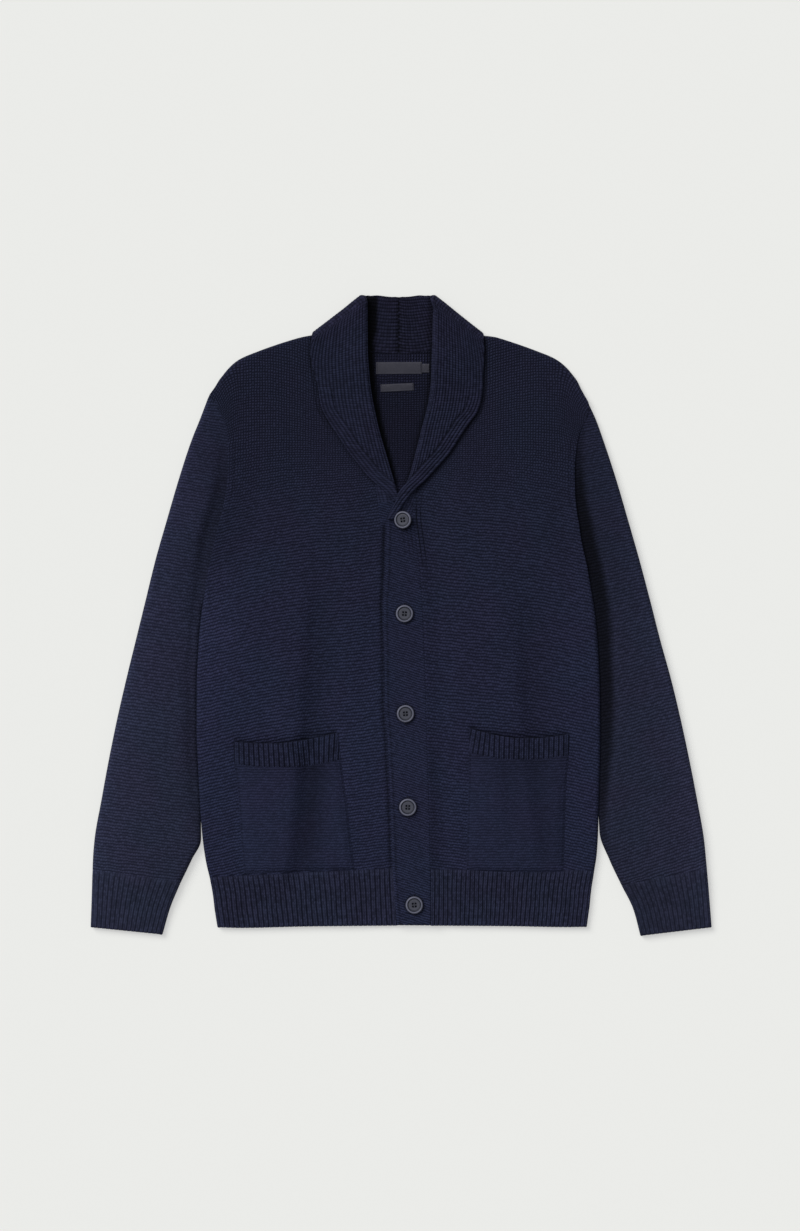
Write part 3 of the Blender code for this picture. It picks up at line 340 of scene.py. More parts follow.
# Painted shadow in the hollow beside the body, on the sleeve: height, how far it reaches out
# over the sleeve from the body's edge, and how deep the painted shadow is.
HOLLOW_PAINTED_SHADE_COLUMNS = "y right_wide right_deep left_wide left_deep".split()
HOLLOW_PAINTED_SHADE = [
    (236, 8, 0.0, 8, 0.0),
    (215, 10, 0.08, 8, 0.15),
    (190, 13, 0.20, 10, 0.50),
    (150, 17, 0.44, 13.5, 0.76),
    (92, 21, 0.34, 18, 0.80),
    (31, 17, 0.18, 20, 0.79),
    (-54, 11, 0.13, 17, 0.79),
    (-100, 12, 0.20, 17, 0.78),
    (-140, 14, 0.26, 16.5, 0.74),
    (-195, 14, 0.23, 13, 0.70),
    (-231, 12, 0.20, 10.5, 0.62),
    (-262, 8, 0.16, 8, 0.42),
    (-285, 6, 0.08, 6, 0.20),
    (-312, 5, 0.0, 5, 0.0),
]
# Painted light and painted shade on the body: places where its colour is made a little
# paler, or deeper, to stand for how the light falls: middle, reach and amount.
BODY_PAINTED_SHADING = [
    (-250, -45, 30, 120, 0.30),
    (-212, -20, 26, 110, 0.10),
    (-228, 250, 22, 46, 0.14),
    (-196, 318, 22, 16, 0.20),
    (-80, -160, 46, 130, 0.11),
    (-158, -80, 16, 90, 0.06),
    (212, -20, 22, 90, 0.08),
    (224, 268, 20, 40, 0.12),
    (118, -168, 38, 44, -0.06),
    (164, 170, 36, 40, 0.06),
    (-30, -80, 22, 120, 0.05),
]
# Slope of the courses of knitting on the fronts, in degrees, rising to the right.
COURSE_SLOPE_LOW = [(-245, 15), (-200, 13.5), (-148, 10), (-110, 5), (-75, 4), (-38, 8), (-20, 8), (8, 0), (35, -9), (72, -5.5), (108, -4.5), (145, -8), (182, -10), (245, -15)]
COURSE_SLOPE_HIGH = [(-245, 22), (-200, 12), (-175, 1), (-150, -8), (-112, -20), (-60, -6), (0, 0), (60, 6), (104, 20), (146, 9), (172, 0), (198, -12), (245, -22)]
COURSE_PITCH = [(400, 3.4), (165, 3.4), (60, 3.75), (20, 3.95), (-175, 3.9), (-300, 3.6), (-400, 3.6)]
WALE = 3.3


# ================================================================ functions of the form
# more places of painted light and painted shade on the body
BODY_PAINTED_SHADING += [
    (-233, 106, 14, 48, -0.30),
    (-216, 12, 26, 60, 0.06),
    (128, -70, 120, 170, -0.05),
    (-100, -110, 60, 110, -0.025),
]


def table(columns, rows):
    out = {}
    for i, name in enumerate(columns):
        values = [row[i] for row in rows]
        out[name] = values if isinstance(values[0], str) else np.array([np.nan if v is None else v for v in values], float)
    return out


def smooth(t):
    t = np.clip(t, 0.0, 1.0)
    return t * t * (3.0 - 2.0 * t)


def through(xs, ys, x):
    """A monotone cubic through (xs, ys), read at x."""
    xs, ys = np.asarray(xs, float), np.asarray(ys, float)
    if xs[0] > xs[-1]:
        xs, ys = xs[::-1], ys[::-1]
    h = np.diff(xs)
    d = np.diff(ys) / h
    m = np.zeros_like(ys)
    m[0], m[-1] = d[0], d[-1]
    for i in range(1, len(xs) - 1):
        if d[i - 1] * d[i] > 0:
            w1, w2 = 2 * h[i] + h[i - 1], h[i] + 2 * h[i - 1]
            m[i] = (w1 + w2) / (w1 / d[i - 1] + w2 / d[i])
    x = np.clip(np.asarray(x, float), xs[0], xs[-1])
    k = np.clip(np.searchsorted(xs, x) - 1, 0, len(xs) - 2)
    t = (x - xs[k]) / h[k]
    return (
        (2 * t**3 - 3 * t**2 + 1) * ys[k]
        + (t**3 - 2 * t**2 + t) * h[k] * m[k]
        + (-2 * t**3 + 3 * t**2) * ys[k + 1]
        + (t**3 - t**2) * h[k] * m[k + 1]
    )


SIDES = {"right": table(FRONT_COLUMNS, FRONT_RIGHT), "left": table(FRONT_COLUMNS, FRONT_LEFT)}
NECKS = {"right": table(BACK_NECK_COLUMNS, BACK_NECK_RIGHT), "left": table(BACK_NECK_COLUMNS, BACK_NECK_LEFT)}
OUTLINE = table(SLEEVE_COLUMNS, SLEEVE_OUTLINE)
LOWER_ARM = table(FOREARM_COLUMNS, FOREARM)
POCKET = table(POCKET_COLUMNS, POCKET_ROWS)
SWELL = table(SWELL_COLUMNS, SWELLS)
HEM = table(HEM_COLUMNS, HEM_EDGE)
VALLEYS = table(VALLEY_COLUMNS, VALLEY)
HOLLOW_PAINTED_SHADES = table(HOLLOW_PAINTED_SHADE_COLUMNS, HOLLOW_PAINTED_SHADE)


def lift(x, y):
    """How far the hidden collar leaf holds the back of the garment off the ground."""
    ax = np.abs(np.asarray(x, float) + 3.5)
    edge = 313.0 + 27.0 * np.clip(ax / 102.0, 0.0, 1.0) ** 1.6
    away = np.hypot(np.maximum(ax - 104.0, 0.0), np.maximum(edge - np.asarray(y, float), 0.0))
    return (WALL + LEAF_AIR) * (1.0 - smooth((away - 3.0) / 52.0))


def near_neck(x, y):
    return smooth((np.hypot((x + 3.5) / 1.05, y - 330.0) - 110.0) / 90.0)


def air(x, y):
    """Air between the back layer and the front layer."""
    x, y = np.asarray(x, float), np.asarray(y, float)
    near = near_neck(x, y)
    swell = 0.5 * near
    for sx, sy, rx, ry, height in zip(SWELL["x"], SWELL["y"], SWELL["reach_x"], SWELL["reach_y"], SWELL["height"]):
        swell = swell + height * np.exp(-(((x - sx) / rx) ** 2) - ((y - sy) / ry) ** 2)
    return NECK_AIR + swell * near


def mouth_line(side, x, y):
    """Height of (x, y) over the pocket's mouth, and how far it is along it, 0 to 1."""
    x0, x1, y0, y1, sag = (POCKET[f"{side}_{key}"][0] for key in ("x0", "x1", "y0", "y1", "sag"))
    u = (x - x0) / (x1 - x0)
    inside = smooth((u + 0.03) / 0.07) * smooth((1.03 - u) / 0.07)
    u = np.clip(u, 0.0, 1.0)
    return y - (y0 + (y1 - y0) * u - sag * 4.0 * u * (1.0 - u)), inside


def free_edge(y):
    """The free edge of the upper band."""
    left = SIDES["left"]
    rows = np.isnan(left["leaf_x"])
    return through(left["roll_y"][rows][::-1], left["roll_x"][rows][::-1], y)


def furrows(x, y, beside_band):
    """Narrow hollows in the fronts: beside the upper band's free edge, in what lies
    under it, and at the pockets' mouths, where the cloth is drawn under."""
    down = 0.0
    if beside_band:
        span = smooth((112.0 - y) / 8.0) * smooth((y + 392.0) / 10.0)
        down = 1.6 * np.exp(-(((x - free_edge(y) + 2.8) / 2.4) ** 2)) * span
    for side in SIGN:
        over, inside = mouth_line(side, x, y)
        down = down + 3.0 * inside * np.exp(-((over / np.where(over > 0, 5.0, 14.0)) ** 2))
    return down


def crease(x, y, line, reach):
    """Height of one crease at (x, y): the line's own height, fading to either side."""
    x, y = np.asarray(x, float), np.asarray(y, float)
    pts = np.array(line, float)
    height = np.zeros(np.broadcast(x, y).shape)
    best = np.full(height.shape, 1e9)
    for (ax, ay, ah), (bx, by, bh) in zip(pts[:-1], pts[1:]):
        dx, dy = bx - ax, by - ay
        length = math.hypot(dx, dy)
        t = np.clip(((x - ax) * dx + (y - ay) * dy) / length**2, 0.0, 1.0)
        off = np.hypot(x - ax - dx * t, y - ay - dy * t)
        across = ((x - ax) * dy - (y - ay) * dx) / length
        wide = np.where(across < 0.0, reach[1], reach[0])
        wide = np.where(dy < 0, np.where(across < 0.0, reach[1], reach[0]), np.where(across < 0.0, reach[0], reach[1]))
        h = (ah + (bh - ah) * t) * np.exp(-((off / wide) ** 2))
        nearer = off < best
        height = np.where(nearer, h, height)
        best = np.where(nearer, off, best)
    return height


def puff(x, y):
    """Further loft of the upper layer over the lower one, with the body's creases."""
    x, y = np.asarray(x, float), np.asarray(y, float)
    band = smooth((np.abs(x - 5.0) - 32.0) / 42.0)
    low = smooth((-250.0 - y) / 130.0)
    calm = np.minimum(band, 1.0) * near_neck(x, y)
    loft = 2.8 + 1.0 * smooth((np.abs(x) - 196.0) / 50.0) - 1.8 * low
    out = loft * calm
    near = calm > 1e-4
    if np.any(near):
        creases = 0.0
        for c in BODY_CREASES:
            creases = creases + crease(x, y, c["line"], c["reach"])
        out = out + creases * calm
    return out


def soft_floor(value, least):
    """value, but easing into least instead of going below it."""
    over = value - least
    return least + 0.5 * (over + np.sqrt(over * over + 0.5)) - 0.17 * np.exp(-np.maximum(over, 0.0))


def gap(x, y, plain=False, beside_band=False):
    """Room between the layers of the body and, where they join it, of the sleeves."""
    x, y = np.asarray(x, float), np.asarray(y, float)
    room = air(x, y) + puff(x, y)
    return soft_floor(room if plain else room - furrows(x, y, beside_band), 0.5)


def band_step(x, y):
    """Rise of the left front, its band and lapel, over the right front's band."""
    x, y = np.asarray(x, float), np.asarray(y, float)
    right = SIDES["right"]
    rows = np.isnan(right["leaf_x"])
    edge = through(right["roll_y"][rows][::-1], right["roll_x"][rows][::-1], y)
    step = STEP * (1.0 - smooth((x - edge - 4.0) / 24.0)) * smooth((184.0 - y) / 34.0)
    hump = 4.7 * np.exp(-(((x + 4.5) / 15.0) ** 2) - ((y - 144.5) / 14.0) ** 2)
    return step + hump


def front_z(x, y, side, plain=False):
    """Underside of the front layer."""
    z = lift(x, y) + WALL + gap(x, y, plain, side == "right")
    return z + band_step(x, y) if side == "left" else z


def integral(rows):
    """A function whose slope is tan(degrees) as tabled."""
    xs = np.linspace(rows[0][0], rows[-1][0], 240)
    slope = np.tan(np.radians(np.interp(xs, [r[0] for r in rows], [r[1] for r in rows])))
    total = np.concatenate([[0.0], np.cumsum(0.5 * (slope[1:] + slope[:-1]) * np.diff(xs))])
    return xs, total, slope


LOW_X, LOW_F, LOW_S = integral(COURSE_SLOPE_LOW)
HIGH_X, HIGH_F, HIGH_S = integral(COURSE_SLOPE_HIGH)
PITCH_Y = np.linspace(-420, 420, 240)
PITCH_V = np.concatenate([[0.0], np.cumsum(np.diff(PITCH_Y) / np.interp(PITCH_Y[1:], [r[0] for r in COURSE_PITCH][::-1], [r[1] for r in COURSE_PITCH][::-1]))])


def turned(x, y):
    """Where the knit is read at the ends of the shoulders: its wales swing outwards."""
    x, y = np.asarray(x, float), np.asarray(y, float)
    for sign, cx, cy in ((-1.0, -204.0, 281.0), (1.0, 199.0, 277.0)):
        angle = sign * math.radians(42.0) * smooth((sign * (x - cx) + 14.0) / 44.0) * smooth((y - 204.0) / 58.0)
        dx, dy = x - cx, y - cy
        near = angle != 0.0
        x = np.where(near, cx + dx * np.cos(angle) - dy * np.sin(angle), x)
        y = np.where(near, cy + dx * np.sin(angle) + dy * np.cos(angle), y)
    return x, y


def body_stitch(x, y):
    """Wale and course number at a place on the fronts and the back."""
    high = smooth((y - 150.0) / 130.0)
    f = np.interp(x, LOW_X, LOW_F) * (1 - high) + np.interp(x, HIGH_X, HIGH_F) * high
    v = np.interp(y - f, PITCH_Y, PITCH_V)
    return x / WALE, v


# ================================================================ cloth into meshes
class Cloth:
    """Patches of cloth, each a grid of points on its outer and inner skin. Points that
    coincide are one point. The outer skin is fine, the inner one uses every few of its
    points, and every free edge is closed by a rounded rim."""

    RIM = 3

    def __init__(self, name, lip=0.75):
        self.name, self.lip, self.patches = name, lip, []

    def patch(self, outer, inner, uv, place=None, coarse=(4, 4), shade=None):
        outer, inner, uv = np.asarray(outer, float), np.asarray(inner, float), np.asarray(uv, float)
        rows, cols = outer.shape[:2]
        kr = coarse[0] if (rows - 1) % coarse[0] == 0 else 1
        kc = coarse[1] if (cols - 1) % coarse[1] == 0 else 1
        place = uv if place is None else np.asarray(place, float)
        shade = np.ones((rows, cols)) if shade is None else np.asarray(shade, float)
        self.patches.append(dict(outer=outer, inner=inner, uv=uv, place=place, k=(kr, kc), shade=shade))

    def build(self, material):
        fine = np.concatenate([np.concatenate([p["outer"].reshape(-1, 3), p["inner"].reshape(-1, 3)], axis=1) for p in self.patches])
        uvs = np.concatenate([p["uv"].reshape(-1, 2) for p in self.patches])
        places = np.concatenate([p["place"].reshape(-1, 2) for p in self.patches])
        shades = np.concatenate([p["shade"].reshape(-1) for p in self.patches])
        _, first, ids = np.unique(np.round(fine, 3), axis=0, return_index=True, return_inverse=True)
        ids = ids.reshape(-1)
        count = len(first)
        outer_points, inner_points = fine[first, :3], fine[first, 3:]
        shade_points = shades[first]
        faces, corners = [], []  # vertex ids, and the grid points they take their UV from
        start = 0
        self.grids = []
        for p in self.patches:
            rows, cols = p["outer"].shape[:2]
            grid = np.arange(start, start + rows * cols).reshape(rows, cols)
            start += rows * cols
            self.grids.append(grid)
        # which way round each patch's faces go
        for p, grid in zip(self.patches, self.grids):
            o, i = p["outer"], p["inner"]
            a = o[:-1, 1:] - o[:-1, :-1]
            b = o[1:, :-1] - o[:-1, :-1]
            normal = np.cross(a, b)
            p["turn"] = float((normal * (o - i)[:-1, :-1]).sum()) < 0
        uses = {}
        quads_all = []
        for p, grid in zip(self.patches, self.grids):
            a, b, c, d = grid[:-1, :-1], grid[:-1, 1:], grid[1:, 1:], grid[1:, :-1]
            quads = np.stack([a, b, c, d], axis=-1).reshape(-1, 4)
            if p["turn"]:
                quads = quads[:, ::-1]
            quads_all.append(quads)
        quads = np.concatenate(quads_all)
        vq = ids[quads]
        same = np.stack([vq[:, n] == vq[:, n - 1] for n in range(4)], axis=1)
        whole = ~same.any(axis=1)
        face_list = [vq[whole]]
        corner_list = [quads[whole]]
        tris_v, tris_c = [], []
        for row_v, row_c, row_s in zip(vq[~whole], quads[~whole], same[~whole]):
            keep = [n for n in range(4) if not row_s[n]]
            if len(keep) == 3 and len({row_v[n] for n in keep}) == 3:
                tris_v.append([row_v[n] for n in keep])
                tris_c.append([row_c[n] for n in keep])
        edges = [vq[whole][:, [0, 1]], vq[whole][:, [1, 2]], vq[whole][:, [2, 3]], vq[whole][:, [3, 0]]]
        if tris_v:
            tv = np.array(tris_v)
            edges += [tv[:, [0, 1]], tv[:, [1, 2]], tv[:, [2, 0]]]
        edges = np.sort(np.concatenate(edges), axis=1)
        keys, times = np.unique(edges[:, 0].astype(np.int64) * count + edges[:, 1], return_counts=True)
        free = set(keys[times == 1].tolist())

        def is_free(x, y):
            return (min(x, y) * count + max(x, y)) in free if x != y else False

        # inner skin
        inner_of, inner_list = {}, []

        def inner_id(g):
            k = int(ids[g])
            if k not in inner_of:
                inner_of[k] = len(inner_list)
                inner_list.append(inner_points[k])
            return inner_of[k]

        inner_faces = []
        for p, grid in zip(self.patches, self.grids):
            kr, kc = p["k"]
            sub = grid[::kr, ::kc]
            for r in range(sub.shape[0] - 1):
                for c in range(sub.shape[1] - 1):
                    q = [sub[r, c], sub[r, c + 1], sub[r + 1, c + 1], sub[r + 1, c]]
                    q = q if p["turn"] else q[::-1]
                    v = [ids[g] for g in q]
                    keep = [n for n in range(4) if v[n] != v[n - 1]]
                    if len({v[n] for n in keep}) >= 3:
                        inner_faces.append([q[n] for n in keep])
        # directions out of the free edges
        toward = np.zeros((count, 3))
        borders = []
        for p, grid in zip(self.patches, self.grids):
            o = p["outer"]
            kr, kc = p["k"]
            for line, dirs, step, back in (
                (grid[0], o[0] - o[1], kc, False),
                (grid[-1], o[-1] - o[-2], kc, True),
                (grid[:, 0], o[:, 0] - o[:, 1], kr, True),
                (grid[:, -1], o[:, -1] - o[:, -2], kr, False),
            ):
                flags = [is_free(int(ids[line[n]]), int(ids[line[n + 1]])) for n in range(len(line) - 1)]
                if not any(flags):
                    continue
                length = np.linalg.norm(dirs, axis=1)
                unit = dirs / np.maximum(length, 1e-9)[:, None]
                touched = np.zeros(len(line), bool)
                touched[:-1] |= flags
                touched[1:] |= flags
                np.add.at(toward, ids[line[touched]], unit[touched])
                borders.append((line, flags, step, back ^ p["turn"]))
        rims, rim_points = {}, []

        def rim(k):
            if k not in rims:
                half = 0.5 * (outer_points[k] - inner_points[k])
                middle = 0.5 * (outer_points[k] + inner_points[k])
                size = np.linalg.norm(half)
                d = toward[k] - half * (toward[k] @ half) / max(size**2, 1e-12)
                d = d / max(np.linalg.norm(d), 1e-9)
                rims[k] = len(rim_points)
                for n in range(1, self.RIM + 1):
                    t = math.pi * n / (self.RIM + 1)
                    rim_points.append(middle + math.cos(t) * half + math.sin(t) * size * self.lip * d)
            return rims[k]

        rim_faces = []  # (kind, vertex, grid) lists: o outer, r rim, i inner
        for line, flags, step, back in borders:
            for j0 in range(0, len(line) - 1, step):
                span = range(j0, j0 + step)
                if not all(flags[n] for n in span):
                    if any(flags[n] for n in span):
                        raise ValueError(f"{self.name}: a free edge changes between two inner points")
                    continue
                for n in span:
                    ga, gb = line[n], line[n + 1]
                    a, b = int(ids[ga]), int(ids[gb])
                    ra, rb = rim(a), rim(b)
                    chain_a = [("o", a)] + [("r", ra + m) for m in range(self.RIM)]
                    chain_b = [("o", b)] + [("r", rb + m) for m in range(self.RIM)]
                    for m in range(self.RIM):
                        face = [(chain_b[m], gb), (chain_a[m], ga), (chain_a[m + 1], ga), (chain_b[m + 1], gb)]
                        rim_faces.append(face if not back else face[::-1])
                last = [(("r", rim(int(ids[line[n]])) + self.RIM - 1), line[n]) for n in range(j0, j0 + step + 1)]
                face = last[::-1] + [(("i", inner_id(line[j0])), line[j0]), (("i", inner_id(line[j0 + step])), line[j0 + step])]
                rim_faces.append(face if not back else face[::-1])
        inner_v = [[inner_id(g) for g in q] for q in inner_faces]
        base_r, base_i = count, count + len(rim_points)
        shift = {"o": 0, "r": base_r, "i": base_i}
        points = np.concatenate([outer_points, np.array(rim_points).reshape(-1, 3), np.array(inner_list).reshape(-1, 3)])
        shade_all = np.concatenate([shade_points, np.ones(len(rim_points)), np.ones(len(inner_list))])
        for k, at_rim in rims.items():
            shade_all[base_r + at_rim : base_r + at_rim + self.RIM] = shade_points[k]
        for k, at in inner_of.items():
            shade_all[base_i + at] = shade_points[k]
        poly_v = [face_list[0]] + [np.array(tris_v, int).reshape(-1, 3)]
        flat_v = [face_list[0].reshape(-1), np.array(tris_v, int).reshape(-1)]
        flat_c = [corner_list[0].reshape(-1), np.array(tris_c, int).reshape(-1)]
        totals = [np.full(len(face_list[0]), 4), np.full(len(tris_v), 3)]
        flat_v.append(np.array([v + base_i for f in inner_v for v in f], int))
        flat_c.append(np.array([g for f in inner_faces for g in f], int))
        totals.append(np.array([len(f) for f in inner_v], int))
        flat_v.append(np.array([shift[kind] + v for f in rim_faces for (kind, v), _ in f], int))
        flat_c.append(np.array([g for f in rim_faces for _, g in f], int))
        totals.append(np.array([len(f) for f in rim_faces], int))
        flat_v, flat_c, totals = np.concatenate(flat_v), np.concatenate(flat_c), np.concatenate(totals)
        points = (points - np.array([CENTRE[0], CENTRE[1], 0.0])) * 0.001
        # drop points that no face uses
        used = np.zeros(len(points), bool)
        used[flat_v] = True
        remap = np.cumsum(used) - 1
        points, shade_all, flat_v = points[used], shade_all[used], remap[flat_v]
        mesh = bpy.data.meshes.new(self.name)
        mesh.vertices.add(len(points))
        mesh.vertices.foreach_set("co", points.astype(np.float32).ravel())
        mesh.loops.add(len(flat_v))
        mesh.loops.foreach_set("vertex_index", flat_v.astype(np.int32))
        mesh.polygons.add(len(totals))
        starts = np.concatenate([[0], np.cumsum(totals)[:-1]])
        mesh.polygons.foreach_set("loop_start", starts.astype(np.int32))
        mesh.polygons.foreach_set("loop_total", totals.astype(np.int32))
        for title, data in (("stitch", uvs), ("place", places)):
            layer = mesh.uv_layers.new(name=title)
            layer.data.foreach_set("uv", data[flat_c].astype(np.float32).ravel())
        # shade: a factor on the colour that holds painted shade and painted light
        attribute = mesh.attributes.new("shade", "FLOAT", "POINT")
        attribute.data.foreach_set("value", shade_all.astype(np.float32))
        mesh.update(calc_edges=True)
        if mesh.validate():
            print("mesh repaired:", self.name)
        mesh.shade_smooth()
        obj = bpy.data.objects.new(self.name, mesh)
        scene.collection.objects.link(obj)
        mesh.materials.append(material)
        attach(obj, "root")
        TRIANGLES[self.name] = int((totals - 2).sum())
        return obj


TRIANGLES = {}


def even(curve, low, high, step, multiple=4, keep=()):
    """Values from low to high, evenly spaced along the curve, with those in keep."""
    stops = sorted({float(low), float(high), *(float(k) for k in keep)})
    out = [stops[0]]
    for a, b in zip(stops[:-1], stops[1:]):
        t = np.linspace(a, b, 80)
        pts = curve(t)
        run = np.concatenate([[0.0], np.cumsum(np.linalg.norm(np.diff(pts, axis=0), axis=1))])
        n = multiple * max(1, int(round(run[-1] / (step * multiple))))
        out += list(np.interp(np.linspace(0, run[-1], n + 1)[1:], run, t))
    return np.array(out)


def lengths(points):
    """Distance along each row of a grid of points."""
    steps = np.linalg.norm(np.diff(points, axis=1), axis=2)
    return np.concatenate([np.zeros((len(points), 1)), np.cumsum(steps, axis=1)], axis=1)


def normals(grid):
    """Unit normals of a grid of points."""
    a, b = np.gradient(grid, axis=0), np.gradient(grid, axis=1)
    n = np.cross(a, b)
    return n / np.maximum(np.linalg.norm(n, axis=2), 1e-9)[..., None]


def outward(outer, inner):
    """Unit normals of the outer skin, away from the inner one."""
    n = normals(outer)
    flip = np.sign((n * (outer - inner)).sum(axis=2))
    flip[flip == 0] = 1.0
    return n * flip[..., None]


def curve_of(side, key):
    s = SIDES[side]
    spots = np.arange(len(s["name"]), dtype=float)

    def curve(t):
        x, y = through(spots, s[f"{key}_x"], t), through(spots, s[f"{key}_y"], t)
        if key == "side":  # straight into the corner at the top of the armhole
            tip = s["name"].index("tip")
            near = np.where(t <= tip, smooth(1.6 - np.abs(t - tip)), 0.0)
            x = x + (np.interp(t, spots, s["side_x"]) - x) * near
            y = y + (np.interp(t, spots, s["side_y"]) - y) * near
        return np.stack([x, y], axis=-1)

    return curve


def edge_normals(curve, t, sign, low, high, corner):
    """Normals of an edge; they turn gradually past the corner at the armhole's top."""
    reach = 0.05 + 0.5 * np.exp(-(((t - corner) / 0.75) ** 2))
    a, b = curve(np.clip(t - reach, low, high)), curve(np.clip(t + reach, low, high))
    tangent = b - a
    tangent /= np.linalg.norm(tangent, axis=1)[:, None]
    return sign * np.stack([tangent[:, 1], -tangent[:, 0]], axis=1)


FOLD = np.radians(np.linspace(0.0, 90.0, 9))


def edge_part(tip, normal, height, base, layer, folded, air_gap):
    """The rounded part of a layer at an edge: from the tip to where it is flat. folded
    is 1 where the two layers meet in a fold, and 0 where the layer just ends there."""
    n = len(tip)
    radius, hollow = WALL + height / 2.0, height / 2.0
    c, s = np.cos(FOLD)[None, :], np.sin(FOLD)[None, :]
    plan_out = tip[:, None, :] + normal[:, None, :] * (radius[:, None] * (1.0 - c))[..., None]
    plan_in = tip[:, None, :] + normal[:, None, :] * (radius[:, None] - hollow[:, None] * c)[..., None]
    z_out = (base + radius)[:, None] + layer * (radius[:, None] * s + air_gap * c)
    z_in = (base + radius)[:, None] + layer * (hollow[:, None] * s + air_gap * c)
    flat_out = base[:, None] + (2.0 * radius[:, None] if layer > 0 else 0.0) + np.zeros_like(z_out)
    flat_in = flat_out - layer * WALL
    w = folded[:, None]
    out = np.concatenate([plan_out, (w * z_out + (1 - w) * flat_out)[..., None]], axis=2)
    plan_in = w[..., None] * plan_in + (1 - w[..., None]) * plan_out
    inn = np.concatenate([plan_in, (w * z_in + (1 - w) * flat_in)[..., None]], axis=2)
    # where the knit's own coordinates are read: the cloth unrolled
    arc = radius[:, None] * (math.pi / 2.0 - FOLD[None, :])
    arc = w * arc + (1 - w) * radius[:, None] * c
    spread = tip[:, None, :] + normal[:, None, :] * (radius[:, None] - arc)[..., None]
    return out, inn, spread


def panel(edge, ends, normal, folded, layer, columns, height_of, base_of, top_of):
    """A grid from the edge to its end, the rounded part first."""
    start_height = height_of(edge + normal * 6.0)
    radius = WALL + start_height / 2.0
    for _ in range(2):
        start_height = height_of(edge + normal * radius[:, None])
        radius = WALL + start_height / 2.0
    base = base_of(edge)
    out, inn, spread = edge_part(edge, normal, start_height, base, layer, folded, SEAM / 2.0)
    start = edge + normal * radius[:, None]
    shares = np.linspace(0.0, 1.0, columns + 1)[1:]
    xy = start[:, None, :] + (ends - start)[:, None, :] * shares[None, :, None]
    z = top_of(xy[..., 0], xy[..., 1])
    far = np.concatenate([xy, z[..., None]], axis=2)
    near = np.concatenate([xy, (z - layer * WALL)[..., None]], axis=2)
    if layer > 0:  # the edge takes on what lifts the layer next to it
        rise = (top_of(start[:, 0], start[:, 1]) - (base + 2.0 * radius))[:, None]
        fade = (1.0 - np.cos(FOLD))[None, :]
        out[..., 2] += rise * fade
        inn[..., 2] += rise * fade
    return np.concatenate([out, far], axis=1), np.concatenate([inn, near], axis=1), np.concatenate([spread, xy], axis=1)


def top_front(side):
    def top(x, y):
        return front_z(x, y, side) + WALL

    return top


def fold_weight(side, t):
    names = SIDES[side]["name"]
    tip, arm = names.index("tip"), names.index("underarm")
    return np.maximum(1.0 - smooth((t - (tip - 1.0)) / 1.0), smooth((t - (arm - 1.0)) / 1.0))


def seam_ends(side, sign, t, off):
    points = curve_of(side, "seam")(t)
    points[:, 0] += sign * off
    return points


def body_painted_light_and_shade(x, y, plain=False):
    """Painted shade and painted light on the upper layer of the body: darker in the creases'
    troughs and in the listed patches, and, unless plain, painted shadow beside the upper band,
    its seam, the pockets' mouths and the lapels' edges, with a painted highlight on the band's chain.
    """
    creases = np.zeros(np.broadcast(x, y).shape)
    for c in BODY_CREASES:
        creases = creases + np.minimum(crease(x, y, c["line"], c["reach"]), 0.0)
    # painted shade in the troughs of the creases
    shade = 1.0 + 0.068 * creases
    # the listed patches of painted light and painted shade
    for tx, ty, rx, ry, amount in BODY_PAINTED_SHADING:
        shade = shade * (1.0 + amount * np.exp(-(((x - tx) / rx) ** 2) - ((y - ty) / ry) ** 2))
    if plain:
        return shade
    # painted shadow beside the upper band's free edge, with a painted highlight on the chain of bumps along it
    span = smooth((116.0 - y) / 8.0) * smooth((y + 392.0) / 10.0)
    beside = x - free_edge(y) + np.interp(y, (-60.0, 0.0, 60.0), (2.7, 3.3, 4.2))
    uneven = 0.84 + 0.16 * np.sin(y * 1.02) * np.sin(y * 0.37 + 1.0)
    shade = shade * (1.0 - 0.68 * uneven * np.exp(-((beside / np.where(beside < 0, 2.4, 1.7)) ** 2)) * span)
    bumps = 0.5 + 0.5 * np.cos(2 * math.pi * y / 3.3)
    shade = shade * (1.0 + 0.20 * bumps * np.exp(-(((x - free_edge(y) + 1.0) / 0.9) ** 2)) * span)
    # painted shade beside the upper band's seam, low down
    seam = SIDES["left"]
    beside = x - through(seam["seam_y"][14:][::-1], seam["seam_x"][14:][::-1], y) - 3.5
    shade = shade * (1.0 - 0.20 * np.exp(-((beside / np.where(beside > 0, 11.0, 4.0)) ** 2)) * smooth((-90.0 - y) / 120.0))
    # painted shadow at the pockets' mouths, and outside the edges of the lapels
    for side in SIGN:
        over, inside = mouth_line(side, x, y)
        shade = shade * (1.0 - 0.60 * inside * np.exp(-((over / np.where(over > 0, 2.6, 8.0)) ** 2)))
        s = SIDES[side]
        last = s["name"].index("leaf_end")
        line = [(a, b, 1.0) for a, b in zip(s["leaf_x"][:last], s["leaf_y"][:last])]
        wide = 4.6 if side == "left" else 4.2
        shade = shade * (1.0 - (0.62 if side == "left" else 0.34) * crease(x, y, line, (wide, wide)))
    return shade


def neck_painted_shadow(x, y):
    """The inside of the neck lies deep between the two rolls of the collar: painted shadow
    darkens a strip beside each roll.
    """
    shade = np.ones(np.broadcast(x, y).shape)
    for side, depth, soft, wide_at in (
        ("right", 0.90, 2.0, ((150, 6.5), (200, 9.0), (260, 10.5), (335, 11.5), (350, 15.0), (396, 16.0))),
        ("left", 0.52, 3.2, ((150, 6.0), (260, 8.0), (396, 9.5))),
    ):
        s = SIDES[side]
        ys, xs = s["roll_y"][:14][::-1], s["roll_x"][:14][::-1]
        away = SIGN[side] * (np.interp(y, ys, xs) - x)
        wide = np.interp(y, [r[0] for r in wide_at], [r[1] for r in wide_at])
        strip = (1.0 - smooth((away - wide + soft) / (2.0 * soft))) * smooth((away + 9.0) / 4.0)
        shade = shade * (1.0 - depth * strip * smooth((y - 152.0) / 16.0))
    return shade


